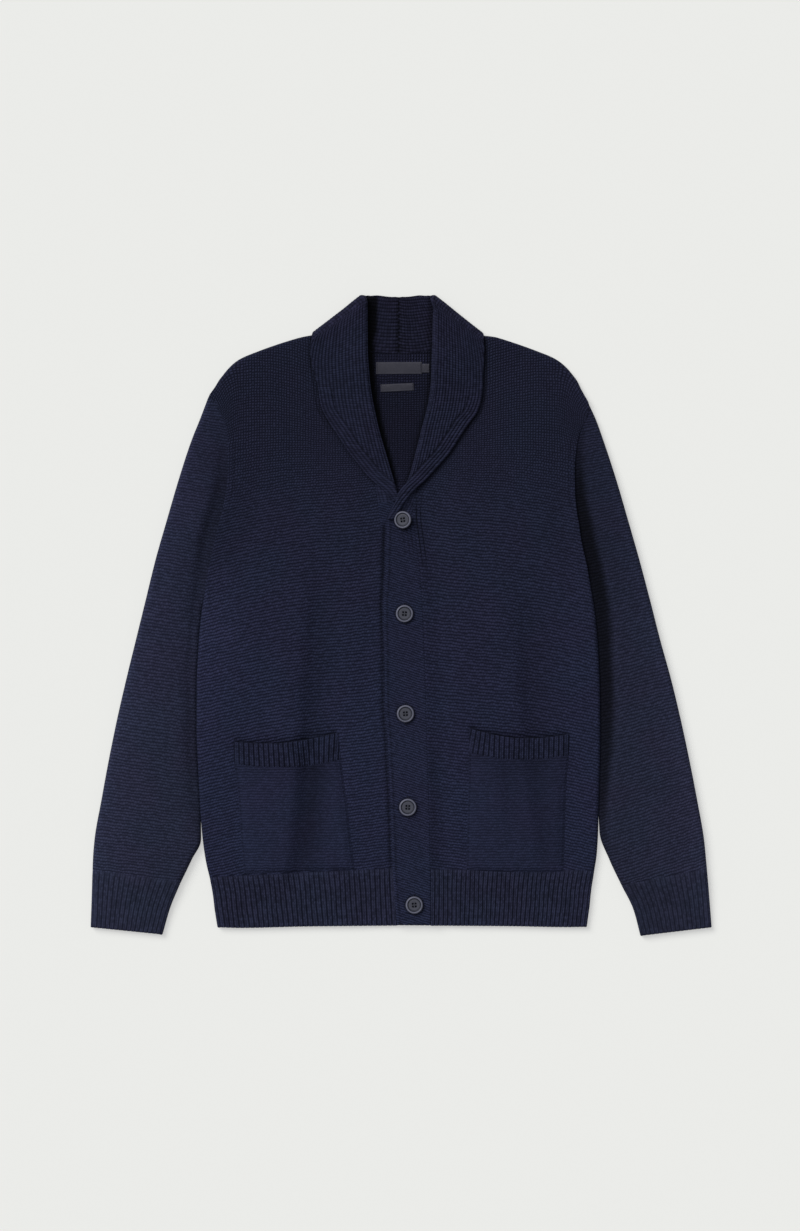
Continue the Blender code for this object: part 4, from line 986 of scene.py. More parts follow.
def build_front(side):
    sign = SIGN[side]
    s = SIDES[side]
    last = len(s["name"]) - 1
    edge, seam = curve_of(side, "side"), curve_of(side, "seam")
    names = s["name"]
    t = even(lambda v: 0.5 * (edge(v) + seam(v)), 0.0, last, 2.5, 4)
    normal = edge_normals(edge, t, sign, 0.0, last, names.index("tip"))
    tips, ends = edge(t), seam_ends(side, sign, t, SEAM * 0.5 + 0.9)
    tips[-1, 1] += 0.6
    ends[-1, 1] += 0.6
    out, inn, spread = panel(
        tips, ends, normal, fold_weight(side, t), 1.0, 96,
        lambda p: gap(p[:, 0], p[:, 1]), lambda p: lift(p[:, 0], p[:, 1]), top_front(side),
    )
    u, v = body_stitch(*turned(spread[..., 0], spread[..., 1]))
    run = lengths(out)
    place = np.stack([run[:, -1:] - run, run], axis=-1)
    cloth = Cloth(f"knit_front_{side}")
    shade = body_painted_light_and_shade(out[..., 0], out[..., 1])
    # painted highlight along the shoulder's folded edge
    on_shoulder = (1.0 - smooth(t - names.index("tip") + 1.0))[:, None]
    shade = shade * (1.0 + 0.22 * np.exp(-run / 5.0) * on_shoulder)
    cloth.patch(out, inn, np.stack([u, v], axis=-1), place, shade=shade)
    obj = cloth.build(MATERIALS["front"])
    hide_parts(f"front_{side}")
    return obj


def build_back():
    cloth = Cloth("knit_back")
    left, right = SIDES["left"], SIDES["right"]
    for side, sign in SIGN.items():
        s, neck = SIDES[side], NECKS[side]
        last = len(s["name"]) - 1
        edge = curve_of(side, "side")
        slope = np.array(NECK_TURN[side]["slope"])
        start = turn_axis(side) + slope * STAND_WIDTH
        line = [[start[0] + sign * 0.6, start[1] - 1.4]]
        line += [[x, y - SEAM] for x, y in zip(neck["seam_x"], neck["seam_y"])]
        line[-1][0] = CENTRE_BACK
        line += [[CENTRE_BACK, 318.0 - SEAM - 58.0 * k] for k in (0.28, 0.62, 1.0)]
        for k in range(len(line), last + 1):
            line.append([CENTRE_BACK, 0.5 * (left["side_y"][k] + right["side_y"][k])])
        line = np.array(line)
        spots = np.arange(last + 1, dtype=float)

        def ends_at(t, line=line, spots=spots):
            return np.stack([through(spots, line[:, 0], t), through(spots, line[:, 1], t)], axis=-1)

        t = even(lambda v: 0.5 * (edge(v) + ends_at(v)), 0.0, last, 4.0, 2, keep=(4.0,))
        normal = edge_normals(edge, t, sign, 0.0, last, s["name"].index("tip"))
        ends = ends_at(t)
        ends[t >= 4.0, 0] = CENTRE_BACK
        hollow = lambda x, y: 0.9 * np.maximum(0.0, under_crease(x, y))
        out, inn, spread = panel(
            edge(t), ends, normal, fold_weight(side, t), -1.0, 64,
            lambda p: gap(p[:, 0], p[:, 1]), lambda p: lift(p[:, 0], p[:, 1]),
            lambda x, y: lift(x, y) + hollow(x, y),
        )
        u, v = body_stitch(spread[..., 0], spread[..., 1])
        # the inside of the neck carries the painted shadow of the collar's rolls
        cloth.patch(out, inn, np.stack([u, v], axis=-1), coarse=(1, 1), shade=neck_painted_shadow(inn[..., 0], inn[..., 1]))
    obj = cloth.build(MATERIALS["back"])
    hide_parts("back")
    return obj


# Shallow hollows of the back's underside, where it isn't pressed on the ground.
UNDER_CREASES = [
    dict(reach=(16, 22), line=[(-150, 200, 0.0), (-120, 90, 0.55), (-96, -40, 0.5), (-88, -150, 0.0)]),
    dict(reach=(20, 15), line=[(140, 160, 0.0), (116, 40, 0.5), (120, -90, 0.6), (142, -210, 0.0)]),
    dict(reach=(14, 14), line=[(-40, -60, 0.0), (-30, -150, 0.5), (-46, -250, 0.0)]),
    dict(reach=(18, 12), line=[(60, 60, 0.0), (40, -80, 0.45), (56, -190, 0.0)]),
]


def under_crease(x, y):
    out = np.zeros(np.broadcast(x, y).shape)
    for c in UNDER_CREASES:
        out = out + crease(x, y, c["line"], c["reach"])
    return out


# ---------------------------------------------------------------- ribs
def rib_height(s):
    """Height of 2x2 ribbing over one repeat, s from 0 to 1: two plain columns and the
    deep groove between them and the next two."""
    s = s - np.floor(s)
    groove = np.exp(-((np.minimum(s, 1.0 - s) / 0.135) ** 2))
    dip = 0.30 * np.exp(-(((s - 0.5) / 0.10) ** 2))
    return 1.0 - groove - dip


def small_rib(s):
    """Height of 1x1 ribbing over one repeat."""
    s = s - np.floor(s)
    return 1.0 - np.exp(-((np.minimum(s, 1.0 - s) / 0.21) ** 2))


HEM_RIBS = 37


def hem_lines(side, layer, inner_x):
    """Outer edge, inner end and lower line of the rib, as functions of 0 to 1 down."""
    s, sign = SIDES[side], SIGN[side]
    top_tip = np.array([s["side_x"][-1], s["side_y"][-1]])
    low_tip = np.array([HEM_CORNER[side], HEM[f"{side}_y"][0]])
    middle = 0.5 * (SIDES["left"]["side_y"][-1] + SIDES["right"]["side_y"][-1])
    top_end = np.array([inner_x[0], s["seam_y"][-1] if layer > 0 else middle])
    low_end = np.array([inner_x[1], HEM[f"{side}_y"][-1]])
    return top_tip, low_tip, top_end, low_end


def hem_grid(side, layer, inner_x, ribs, per_rib, rows, ribbed):
    sign = SIGN[side]
    top_tip, low_tip, top_end, low_end = hem_lines(side, layer, inner_x)
    k = np.linspace(0.0, 1.0, rows + 1)
    pull = 0.02
    kk = pull * 0.2 + k * (1.0 - pull * 0.7)
    tips = top_tip + (low_tip - top_tip) * kk[:, None]
    ends = top_end + (low_end - top_end) * kk[:, None]
    # the rib draws the side in a little under its seam
    tips[:, 0] -= sign * 0.8 * np.sin(math.pi * np.clip(kk * 1.6, 0, 1))
    direction = (low_tip - top_tip) / np.linalg.norm(low_tip - top_tip)
    normal = np.repeat((sign * np.array([direction[1], -direction[0]]))[None, :], len(k), axis=0)
    columns = ribs * per_rib
    top = top_front(side) if layer > 0 else (lambda x, y: lift(x, y))
    out, inn, spread = panel(
        tips, ends, normal, np.ones(len(k)), layer, columns,
        lambda p: gap(p[:, 0], p[:, 1]), lambda p: lift(p[:, 0], p[:, 1]), top,
    )
    for skin in (out, inn, spread):
        share = np.clip((skin[..., 0] - tips[:, None, 0]) / (ends - tips)[:, None, 0], 0.0, 1.0)
        straight = tips[:, None, 1] + (ends - tips)[:, None, 1] * share
        bend = through(HEM["share"], HEM[f"{side}_y"], share) - (low_tip[1] + (low_end[1] - low_tip[1]) * share)
        skin[..., 1] += bend * kk[:, None] ** 2
    run = lengths(out)
    share = run / run[:, -1:]
    s = share * ribs
    return out, inn, s, kk


def raise_ribs(out, inn, height, amount):
    n = outward(out, inn)
    return out + n * (height * amount)[..., None]


def build_hem_front(side):
    s, sign = SIDES[side], SIGN[side]
    off = SEAM * 0.5 + 0.8
    ends = (s["seam_x"][-1] + sign * off, HEM_SEAM[side] + sign * off)
    out, inn, rib, k = hem_grid(side, 1.0, ends, HEM_RIBS, 12, 20, True)
    fade = np.minimum(smooth(k / 0.10), 1.0)[:, None] * (0.75 + 0.25 * smooth((1.0 - k) / 0.06))[:, None]
    wander = 0.05 * np.sin(rib * 0.9 + k[:, None] * 4.0)
    out = raise_ribs(out, inn, (rib_height(rib + wander) - 0.62) * fade, 1.3)
    cloth = Cloth(f"rib_hem_front_{side}")
    uv = np.stack([rib + wander, np.broadcast_to(-k[:, None] * 60.0 / 3.2, rib.shape)], axis=-1)
    # painted light: paler along the folded bottom edge and towards the outer side
    shade = (1.0 + 0.20 * np.exp(-(1.0 - k[:, None]) * 60.0 / 6.0)) * (1.0 + 0.10 * np.exp(-lengths(out) / 14.0))
    cloth.patch(out, inn, uv, shade=shade)
    obj = cloth.build(MATERIALS["rib"])
    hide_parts(f"hem_rib_front_{side}")
    return obj


def build_hem_back():
    cloth = Cloth("rib_hem_back")
    for side in SIGN:
        out, inn, rib, k = hem_grid(side, -1.0, (CENTRE_BACK, CENTRE_BACK), 37, 8, 12, True)
        fade = smooth(k / 0.10)[:, None] * np.ones_like(rib)
        out = raise_ribs(out, inn, np.minimum((rib_height(rib) - 1.0), 0.0) * fade, 1.1)
        uv = np.stack([rib, np.broadcast_to(-k[:, None] * 60.0 / 3.2, rib.shape)], axis=-1)
        cloth.patch(out, inn, uv)
    obj = cloth.build(MATERIALS["rib"])
    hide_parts("hem_rib_back")
    return obj


# ---------------------------------------------------------------- sleeves
def sleeve_inner(side):
    """Inner edge of a sleeve as a curve, and the value where it becomes a fold."""
    s, sign = SIDES[side], SIGN[side]
    names = s["name"]
    tip, arm, low = names.index("tip"), names.index("underarm"), names.index("side5")
    hole = np.stack([s["side_x"], s["side_y"]], axis=1)[tip : low + 1].copy()
    below = smooth((np.arange(len(hole)) - (arm - tip) + 2.0) / 2.0)
    hole[:, 0] += sign * (SEAM + 0.1 - 1.3 * below)
    first = hole[0] + (hole[1] - hole[0]) * 0.03
    points = [first, *hole[1:]]
    for x, y in zip(LOWER_ARM[f"{side}_x"][:3], LOWER_ARM[f"{side}_y"][:3]):
        points.append(np.array([x, y]))
    points = np.array(points)
    spots = np.arange(len(points), dtype=float)

    def curve(t):
        return np.stack([through(spots, points[:, 0], t), through(spots, points[:, 1], t)], axis=-1)

    return curve, float(arm - tip), float(len(points) - 1)


def outer_of(side, inner):
    """Where the section that starts at each inner point meets the sleeve's outline."""
    x, y = inner[:, 0], inner[:, 1]
    oy = y.copy()
    for _ in range(12):
        ox = through(OUTLINE["y"], OUTLINE[f"{side}_x"], oy)
        oy = y + SLEEVE_TILT[side] * np.abs(ox - x)
    return np.stack([through(OUTLINE["y"], OUTLINE[f"{side}_x"], oy), oy], axis=1)


def line_normals(points, sign):
    tangent = np.gradient(points, axis=0)
    tangent /= np.maximum(np.linalg.norm(tangent, axis=1), 1e-9)[:, None]
    return sign * np.stack([tangent[:, 1], -tangent[:, 0]], axis=1)


SLEEVE_CREASES = {
    "right": [
        dict(reach=(22, 14), line=[(-262, 150, 0.0), (-268, 90, 0.8), (-282, 20, 0.9), (-290, -40, 0.0)]),
        dict(reach=(12, 20), line=[(-300, -60, 0.0), (-292, -90, -1.0), (-276, -118, -0.8), (-262, -130, 0.0)]),
        dict(reach=(16, 22), line=[(-318, -120, 0.0), (-312, -190, 0.9), (-322, -250, 0.8), (-326, -300, 0.0)]),
        dict(reach=(10, 14), line=[(-342, -170, 0.0), (-326, -192, -0.8), (-300, -206, -0.6), (-280, -210, 0.0)]),
        dict(reach=(12, 12), line=[(-350, -262, 0.0), (-330, -276, -0.7), (-305, -284, -0.5), (-288, -286, 0.0)]),
    ],
    "left": [
        dict(reach=(14, 22), line=[(252, 160, 0.0), (262, 100, 0.8), (276, 30, 0.9), (286, -30, 0.0)]),
        dict(reach=(16, 12), line=[(306, -50, 0.0), (294, -84, -0.9), (280, -110, -0.8), (266, -124, 0.0)]),
        dict(reach=(20, 16), line=[(312, -110, 0.0), (310, -180, 0.9), (318, -245, 0.8), (324, -300, 0.0)]),
        dict(reach=(12, 12), line=[(348, -190, 0.0), (328, -208, -0.8), (300, -220, -0.6), (282, -222, 0.0)]),
        dict(reach=(12, 12), line=[(352, -270, 0.0), (332, -284, -0.6), (306, -292, -0.5), (290, -294, 0.0)]),
    ],
}


def sleeve_gap(x, y, side, away, below, length):
    """Room between a sleeve's layers. away is the distance from its inner edge, below is
    1 past the underarm, where the sleeve lies beside the body."""
    out = air(x, y) + puff(x, y)
    for c in SLEEVE_CREASES[side]:
        out = out + crease(x, y, c["line"], c["reach"])
    offset = through(VALLEYS["y"], VALLEYS[f"{side}_offset"], y)
    depth = through(VALLEYS["y"], VALLEYS[f"{side}_depth"], y)
    wide = 11.0 if side == "right" else 9.0
    hill = np.exp(-(((away - offset) / wide) ** 2))
    if side == "right":
        hill = np.where(away < offset, hill + (1.0 - hill) * below, hill)
    else:  # this one lies lower than the body's edge all the way from the armhole
        hill = np.where(away < offset, 1.0, hill)
    out = out + 2.2 * smooth((230.0 - y) / 90.0) * smooth((y + 380.0) / 60.0)
    return soft_floor(out - depth * hill, 0.6)


def build_tube(name, cad, side, inner, outer, fold_from, gap_of, columns, stitch, material, ribs=None, shade_of=None, coarse=(4, 4)):
    """A flattened tube, its two layers folded at the outer edge and, where fold_from is
    1, at the inner one too."""
    sign = SIGN[side]
    out_normal = line_normals(outer, sign)
    in_normal = -line_normals(inner, sign)
    across = inner - outer
    width = np.linalg.norm(across, axis=1)
    across = across / width[:, None]
    narrow = (1.0 - smooth((width - 14.0) / 20.0))[:, None]
    out_normal = out_normal * (1 - narrow) + across * narrow
    out_normal /= np.linalg.norm(out_normal, axis=1)[:, None]
    in_normal = in_normal * (1 - narrow) - across * narrow
    in_normal /= np.linalg.norm(in_normal, axis=1)[:, None]
    # how tall the tube is at each edge
    tall_out = np.minimum(gap_of(outer + out_normal * 6.0, width - 6.0), np.maximum(2.0 * (width * 0.45 - WALL), 0.3))
    r_out = WALL + tall_out / 2.0
    tall_in = np.minimum(gap_of(inner + in_normal * 1.0, np.full(len(inner), 4.0)), np.maximum(2.0 * (width * 0.45 - WALL), 0.3))
    r_in = WALL + tall_in / 2.0
    start = outer + out_normal * r_out[:, None]
    finish = inner + in_normal * r_in[:, None]
    shares = np.linspace(0.0, 1.0, columns + 1)[1:-1]
    cloth = Cloth(name)
    pieces = []
    for layer in (-1.0, 1.0):
        base_out = lift(outer[:, 0], outer[:, 1])
        base_in = lift(inner[:, 0], inner[:, 1])
        o1, i1, s1 = edge_part(outer, out_normal, tall_out, base_out, layer, np.ones(len(outer)), 0.0)
        o2, i2, s2 = edge_part(inner, in_normal, tall_in, base_in, layer, fold_from, 0.0)
        xy = start[:, None, :] + (finish - start)[:, None, :] * shares[None, :, None]
        span = np.linalg.norm(finish - start, axis=1)[:, None]
        d_out = shares[None, :] * span
        d_in = (1.0 - shares[None, :]) * span
        free = gap_of(xy, d_in + r_in[:, None])
        w_out = smooth(d_out / 24.0)
        tall = tall_out[:, None] * (1 - w_out) + free * w_out
        w_in = smooth(d_in / 9.0)
        tall = tall_in[:, None] * (1 - w_in) + tall * w_in
        base = lift(xy[..., 0], xy[..., 1])
        z = base + (2 * WALL + tall if layer > 0 else 0.0)
        far = np.concatenate([xy, z[..., None]], axis=2)
        near = np.concatenate([xy, (z - layer * WALL)[..., None]], axis=2)
        out = np.concatenate([o1, far, o2[:, ::-1]], axis=1)
        inn = np.concatenate([i1, near, i2[:, ::-1]], axis=1)
        spread = np.concatenate([s1, xy, s2[:, ::-1]], axis=1)
        pieces.append((layer, out, inn, spread))
    for layer, out, inn, spread in pieces:
        u, v = stitch(spread, out, layer)
        if ribs is not None:
            height, amount = ribs(u, v, layer)
            edge = np.minimum(np.arange(out.shape[1]), np.arange(out.shape[1])[::-1])
            out = raise_ribs(out, inn, height * smooth(edge / 2.0)[None, :], amount)
        shade = None if shade_of is None or layer < 0 else shade_of(out)
        cloth.patch(out, inn, np.stack([u, v], axis=-1), shade=shade, coarse=coarse)
    obj = cloth.build(material)
    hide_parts(cad)
    return obj


def build_sleeve(side):
    sign = SIGN[side]
    curve, arm, last = sleeve_inner(side)
    t = even(curve, 0.0, last, 2.7, 4, keep=(arm,))
    inner = curve(t)
    outer = outer_of(side, inner)
    # its top is tucked in between the front and the back
    inward = np.array([-sign * 0.93, -0.36])
    tuck = (1.0 - smooth(t / 1.15))[:, None]
    inner = inner + inward * 9.0 * tuck
    weight = np.where(t >= arm, 1.0, smooth((t - (arm - 0.6)) / 0.6) * 0.999)
    below_by_y = [float(curve(np.array([arm - 0.8]))[0, 1]), float(curve(np.array([arm + 0.3]))[0, 1])]

    def gap_of(p, away):
        x, y = p[..., 0], p[..., 1]
        below = smooth((below_by_y[0] - y) / (below_by_y[0] - below_by_y[1]))
        return sleeve_gap(x, y, side, away, below, None)

    slopes = [(400, 9 if side == "right" else 10), (165, 9 if side == "right" else 10), (40, 8.6 if side == "right" else 12.5), (-120, 8 if side == "right" else 15), (-274, 7 if side == "right" else 17), (-400, 7 if side == "right" else 17)]
    axis_y = np.linspace(-400, 300, 60)
    middle_points = 0.5 * (inner + outer)
    order = np.argsort(middle_points[:, 1])

    def stitch(spread, out, layer):
        x, y = spread[..., 0], spread[..., 1]
        slope = np.tan(np.radians(np.interp(y, [r[0] for r in slopes][::-1], [r[1] for r in slopes][::-1]))) * (-1.0 if side == "right" else 1.0)
        centre = np.interp(y, middle_points[order, 1], middle_points[order, 0])
        v = np.interp(y - slope * (x - centre), PITCH_Y, PITCH_V)
        u = (x - centre) * layer / WALE
        return u, v

    def shade_of(out):
        x, y = out[..., 0], out[..., 1]
        line = curve(np.linspace(0, last, 200))[::-1]
        away = np.maximum(sign * (x - np.interp(y, line[:, 1], line[:, 0])), 0.0)
        # painted shadow in the hollow beside the body
        wide = through(HOLLOW_PAINTED_SHADES["y"], HOLLOW_PAINTED_SHADES[f"{side}_wide"], y)
        deep = through(HOLLOW_PAINTED_SHADES["y"], HOLLOW_PAINTED_SHADES[f"{side}_deep"], y)
        soft = 5.5 if side == "left" else 6.0
        shade = 1.0 - deep * (1.0 - smooth((away - wide + soft) / (2.0 * soft)))
        # painted light: the outer fold is made paler than the rest
        far = sign * (through(OUTLINE["y"], OUTLINE[f"{side}_x"], y) - x)
        far = np.maximum(far, 0.0)
        if side == "right":
            # painted shade low on the forearm, painted light about the upper arm and along the outer fold
            low = smooth((200.0 - y) / 90.0)
            shade = shade * (1.0 - 0.05 * smooth((-120.0 - y) / 60.0)) * (1.0 + 0.07 * np.exp(-(((y - 150.0) / 50.0) ** 2)))
            return shade * (1.0 + (0.02 + 0.12 * low) + (0.52 - 0.20 * low) * np.exp(-far / (9.0 + 6.0 * low)))
        # painted shade spreading out from the hollow beside the body, more on the upper arm
        beside = np.exp(-np.maximum(away - wide, 0.0) / 26.0)
        shade = shade * (1.0 - (0.04 + 0.15 * smooth((y - 10.0) / 80.0)) * beside)
        return shade * (1.0 + 0.30 * np.exp(-far / 11.0))

    return build_tube(f"knit_sleeve_{side}", f"sleeve_{side}", side, inner, outer, weight, gap_of, 40, stitch, MATERIALS["knit"], shade_of=shade_of)


def build_cuff(side):
    sign = SIGN[side]
    curve, arm, last = sleeve_inner(side)
    top_in = curve(np.array([last]))[0]
    top_out = outer_of(side, top_in[None, :])[0]
    low_in = np.array([LOWER_ARM[f"{side}_x"][-1], LOWER_ARM[f"{side}_y"][-1]])
    mid_in = np.array([LOWER_ARM[f"{side}_x"][-2], LOWER_ARM[f"{side}_y"][-2]])
    low_out = np.array([OUTLINE[f"{side}_x"][-1], -379.6])
    mid_y = 0.5 * (top_out[1] + low_out[1])
    mid_out = np.array([float(through(OUTLINE["y"], OUTLINE[f"{side}_x"], mid_y)), mid_y])
    k = np.linspace(0.0, 1.0, 25)
    kk = 0.012 + k * 0.982
    spots = np.array([0.0, 0.5, 1.0])
    ins, outs = np.array([top_in, mid_in, low_in]), np.array([top_out, mid_out, low_out])
    inner = np.stack([through(spots, ins[:, 0], kk), through(spots, ins[:, 1], kk)], axis=1)
    outer = np.stack([through(spots, outs[:, 0], kk), through(spots, outs[:, 1], kk)], axis=1)
    ribs_per_layer = 17
    columns = ribs_per_layer * 12

    def gap_of(p, away):
        return sleeve_gap(p[..., 0], p[..., 1], side, away, 1.0, None) - 0.5 * smooth((-325.0 - p[..., 1]) / 20.0)

    def stitch(spread, out, layer):
        run = lengths(out)
        u = run / run[:, -1:] * (ribs_per_layer + 1) * layer
        v = np.broadcast_to(-kk[:, None] * 62.0 / 3.2, u.shape)
        return u, v

    def ribs(u, v, layer):
        fade = smooth(kk / 0.10)[:, None]
        h = rib_height(u)
        if layer < 0:
            return np.minimum(h - 1.0, 0.0) * fade, 1.0
        return (h - 0.62) * fade, 0.85

    def shade_of(out):
        # painted light: one cuff paler than the other, and both paler towards the outer fold
        far = np.maximum(sign * (through(OUTLINE["y"], OUTLINE[f"{side}_x"], out[..., 1]) - out[..., 0]), 0.0)
        return (1.08 if side == "right" else 0.94) * (1.0 + 0.20 * np.exp(-far / 12.0))

    return build_tube(f"rib_cuff_{side}", f"cuff_{side}", side, inner, outer, np.ones(len(k)), gap_of, columns, stitch, MATERIALS["cuff"], ribs=ribs, shade_of=shade_of)


# ---------------------------------------------------------------- collar and bands
def turn_axis(side):
    corner, slope = np.array(NECK_TURN[side]["corner"]), np.array(NECK_TURN[side]["slope"])
    normal = np.array([-slope[1], slope[0]]) * -SIGN[side]
    normal = normal if normal[1] > 0 else -normal
    return corner - normal * (2.0 * ROLL_OUT + NECK_AIR / 2.0)


STAND_COLS, ROLL_COLS, LEAF_COLS = 96, 16, 136
STAND_SHARE = np.linspace(0.0, 1.0, STAND_COLS + 1)
ROLL_TURN = np.radians(np.linspace(-90.0, 90.0, ROLL_COLS + 1))
LEAF_SHARE = np.linspace(0.0, 1.0, LEAF_COLS + 1)


ROLL_LOFT = 6.8  # how much fuller the roll is than the collar folded flat
STAND_LIFT = 0.35  # the share of it that also lifts the stand


def strip_section(seam, roll, leaf, bulge, stand_z, leaf_z, centre_z, sense, loft=0.0):
    """One cross-section: stand, roll, leaf, outer and inner skin."""
    outs, ins = [], []
    stand = seam + (roll - seam) * STAND_SHARE[:-1, None]
    from_roll = np.linalg.norm(roll - seam) * (1.0 - STAND_SHARE[:-1])
    rise = loft * STAND_LIFT * np.exp(-((from_roll / 16.0) ** 2))
    outs.append(np.column_stack([stand, stand_z(stand, True) + rise]))
    ins.append(np.column_stack([stand, stand_z(stand, False) + rise]))
    more = loft * (1.0 - STAND_LIFT) / 2.0
    for bag, r in ((outs, ROLL_OUT + more), (ins, ROLL_IN + more)):
        plan = roll + bulge * more - bulge * (r * np.cos(ROLL_TURN))[:, None]
        bag.append(np.column_stack([plan, centre_z + loft * STAND_LIFT + more + sense * r * np.sin(ROLL_TURN)]))
    flat = roll + (leaf - roll) * LEAF_SHARE[1:, None]
    out_of = np.linalg.norm(leaf - roll) * LEAF_SHARE[1:]
    rise = loft * np.exp(-((out_of / 27.0) ** 2))
    outs.append(np.column_stack([flat, leaf_z(flat, True) + rise]))
    ins.append(np.column_stack([flat, leaf_z(flat, False) + rise]))
    return np.concatenate(outs), np.concatenate(ins)


# How much further the leaf reaches, by its angle, as its edge swings round to the front.
LEAF_REACH = ((-30.0, 0.0, 30.0, 60.0, 90.0), (0.0, 1.2, 2.4, 5.0, 7.4))


def turn_section(side, angle):
    slope, axis = np.array(NECK_TURN[side]["slope"]), turn_axis(side)
    middle, radius = 2.0 * ROLL_OUT + NECK_AIR / 2.0, ROLL_OUT + NECK_AIR / 2.0
    normal = (np.array(NECK_TURN[side]["corner"]) - axis) / middle
    turn = math.radians(angle)
    loft = ROLL_LOFT * float(smooth((angle + 6.0) / 96.0))
    more = loft * (1.0 - STAND_LIFT) / 2.0

    def place(along, over):
        reach = radius + over
        plan = axis + slope * along[:, None] + normal * (reach * math.cos(turn))[:, None]
        return np.column_stack([plan, middle + reach * math.sin(turn)])

    leaf_width = LEAF_WIDTH - 2.2 + float(np.interp(angle, LEAF_REACH[0], LEAF_REACH[1]))
    along = np.concatenate([STAND_WIDTH * (1.0 - STAND_SHARE[:-1]), np.zeros(ROLL_COLS + 1), leaf_width * LEAF_SHARE[1:]])
    skins = []
    for r in (ROLL_OUT, ROLL_IN):
        a = along.copy()
        a[STAND_COLS : STAND_COLS + ROLL_COLS + 1] = more - (r + more) * np.cos(ROLL_TURN)
        stand_rise = loft * STAND_LIFT * np.exp(-((a[:STAND_COLS] / 16.0) ** 2))
        leaf_rise = loft * np.exp(-((a[STAND_COLS + ROLL_COLS + 1 :] / 27.0) ** 2))
        bend = loft * STAND_LIFT + more + (r + more) * np.sin(ROLL_TURN)
        over = np.concatenate([-r + stand_rise, bend, r + leaf_rise])
        skins.append(place(a, over))
    return skins[0], skins[1]


# Where the tip of the roll lies in plan as the collar turns over the corner of the neck.
CORNER_ANGLES = (-90.0, -60.0, -30.0, 0.0, 30.0, 60.0, 90.0)
CORNER_TIPS = {
    "right": ((-41.4, 390.2), (-42.8, 390.3), (-44.4, 389.9), (-45.8, 387.8), (-44.6, 389.2), (-42.6, 388.4), (-41.2, 385.6)),
    "left": ((34.6, 390.2), (36.0, 390.3), (37.6, 389.9), (39.0, 387.8), (37.8, 389.2), (36.4, 388.4), (36.0, 385.6)),
}


def eased(outer, inner, tip):
    """A section with its roll moved in plan so that its tip is where it is wanted."""
    middle = STAND_COLS + ROLL_COLS // 2
    move = np.array(tip) - outer[middle, :2]
    run = np.concatenate([[0.0], np.cumsum(np.linalg.norm(np.diff(outer, axis=0), axis=1))])
    fade = np.exp(-(((run - run[middle]) / 20.0) ** 2))[:, None]
    outer, inner = outer.copy(), inner.copy()
    outer[:, :2] += move * fade
    inner[:, :2] += move * fade
    return outer, inner


def spline(keys, spots, t):
    """A smooth curve through keys at spots, read at t, for whole sections at once."""
    h = np.diff(spots)
    d = np.diff(keys, axis=0) / h[:, None, None]
    m = np.empty_like(keys)
    m[0], m[-1] = d[0], d[-1]
    w = (h[:-1] / (h[:-1] + h[1:]))[:, None, None]
    m[1:-1] = d[:-1] * (1 - w) + d[1:] * w
    k = np.clip(np.searchsorted(spots, t, side="right") - 1, 0, len(h) - 1)
    s = ((t - spots[k]) / h[k])[:, None, None]
    hk = h[k][:, None, None]
    return (
        (2 * s**3 - 3 * s**2 + 1) * keys[k]
        + (s**3 - 2 * s**2 + s) * hk * m[k]
        + (-2 * s**3 + 3 * s**2) * keys[k + 1]
        + (s**3 - s**2) * hk * m[k + 1]
    )


COLLAR_PITCH = {"right": 4.3, "left": 3.7}
SLIT = {"right": ((-74, 254), (-30, 186)), "left": ((70, 252), (28, 190))}


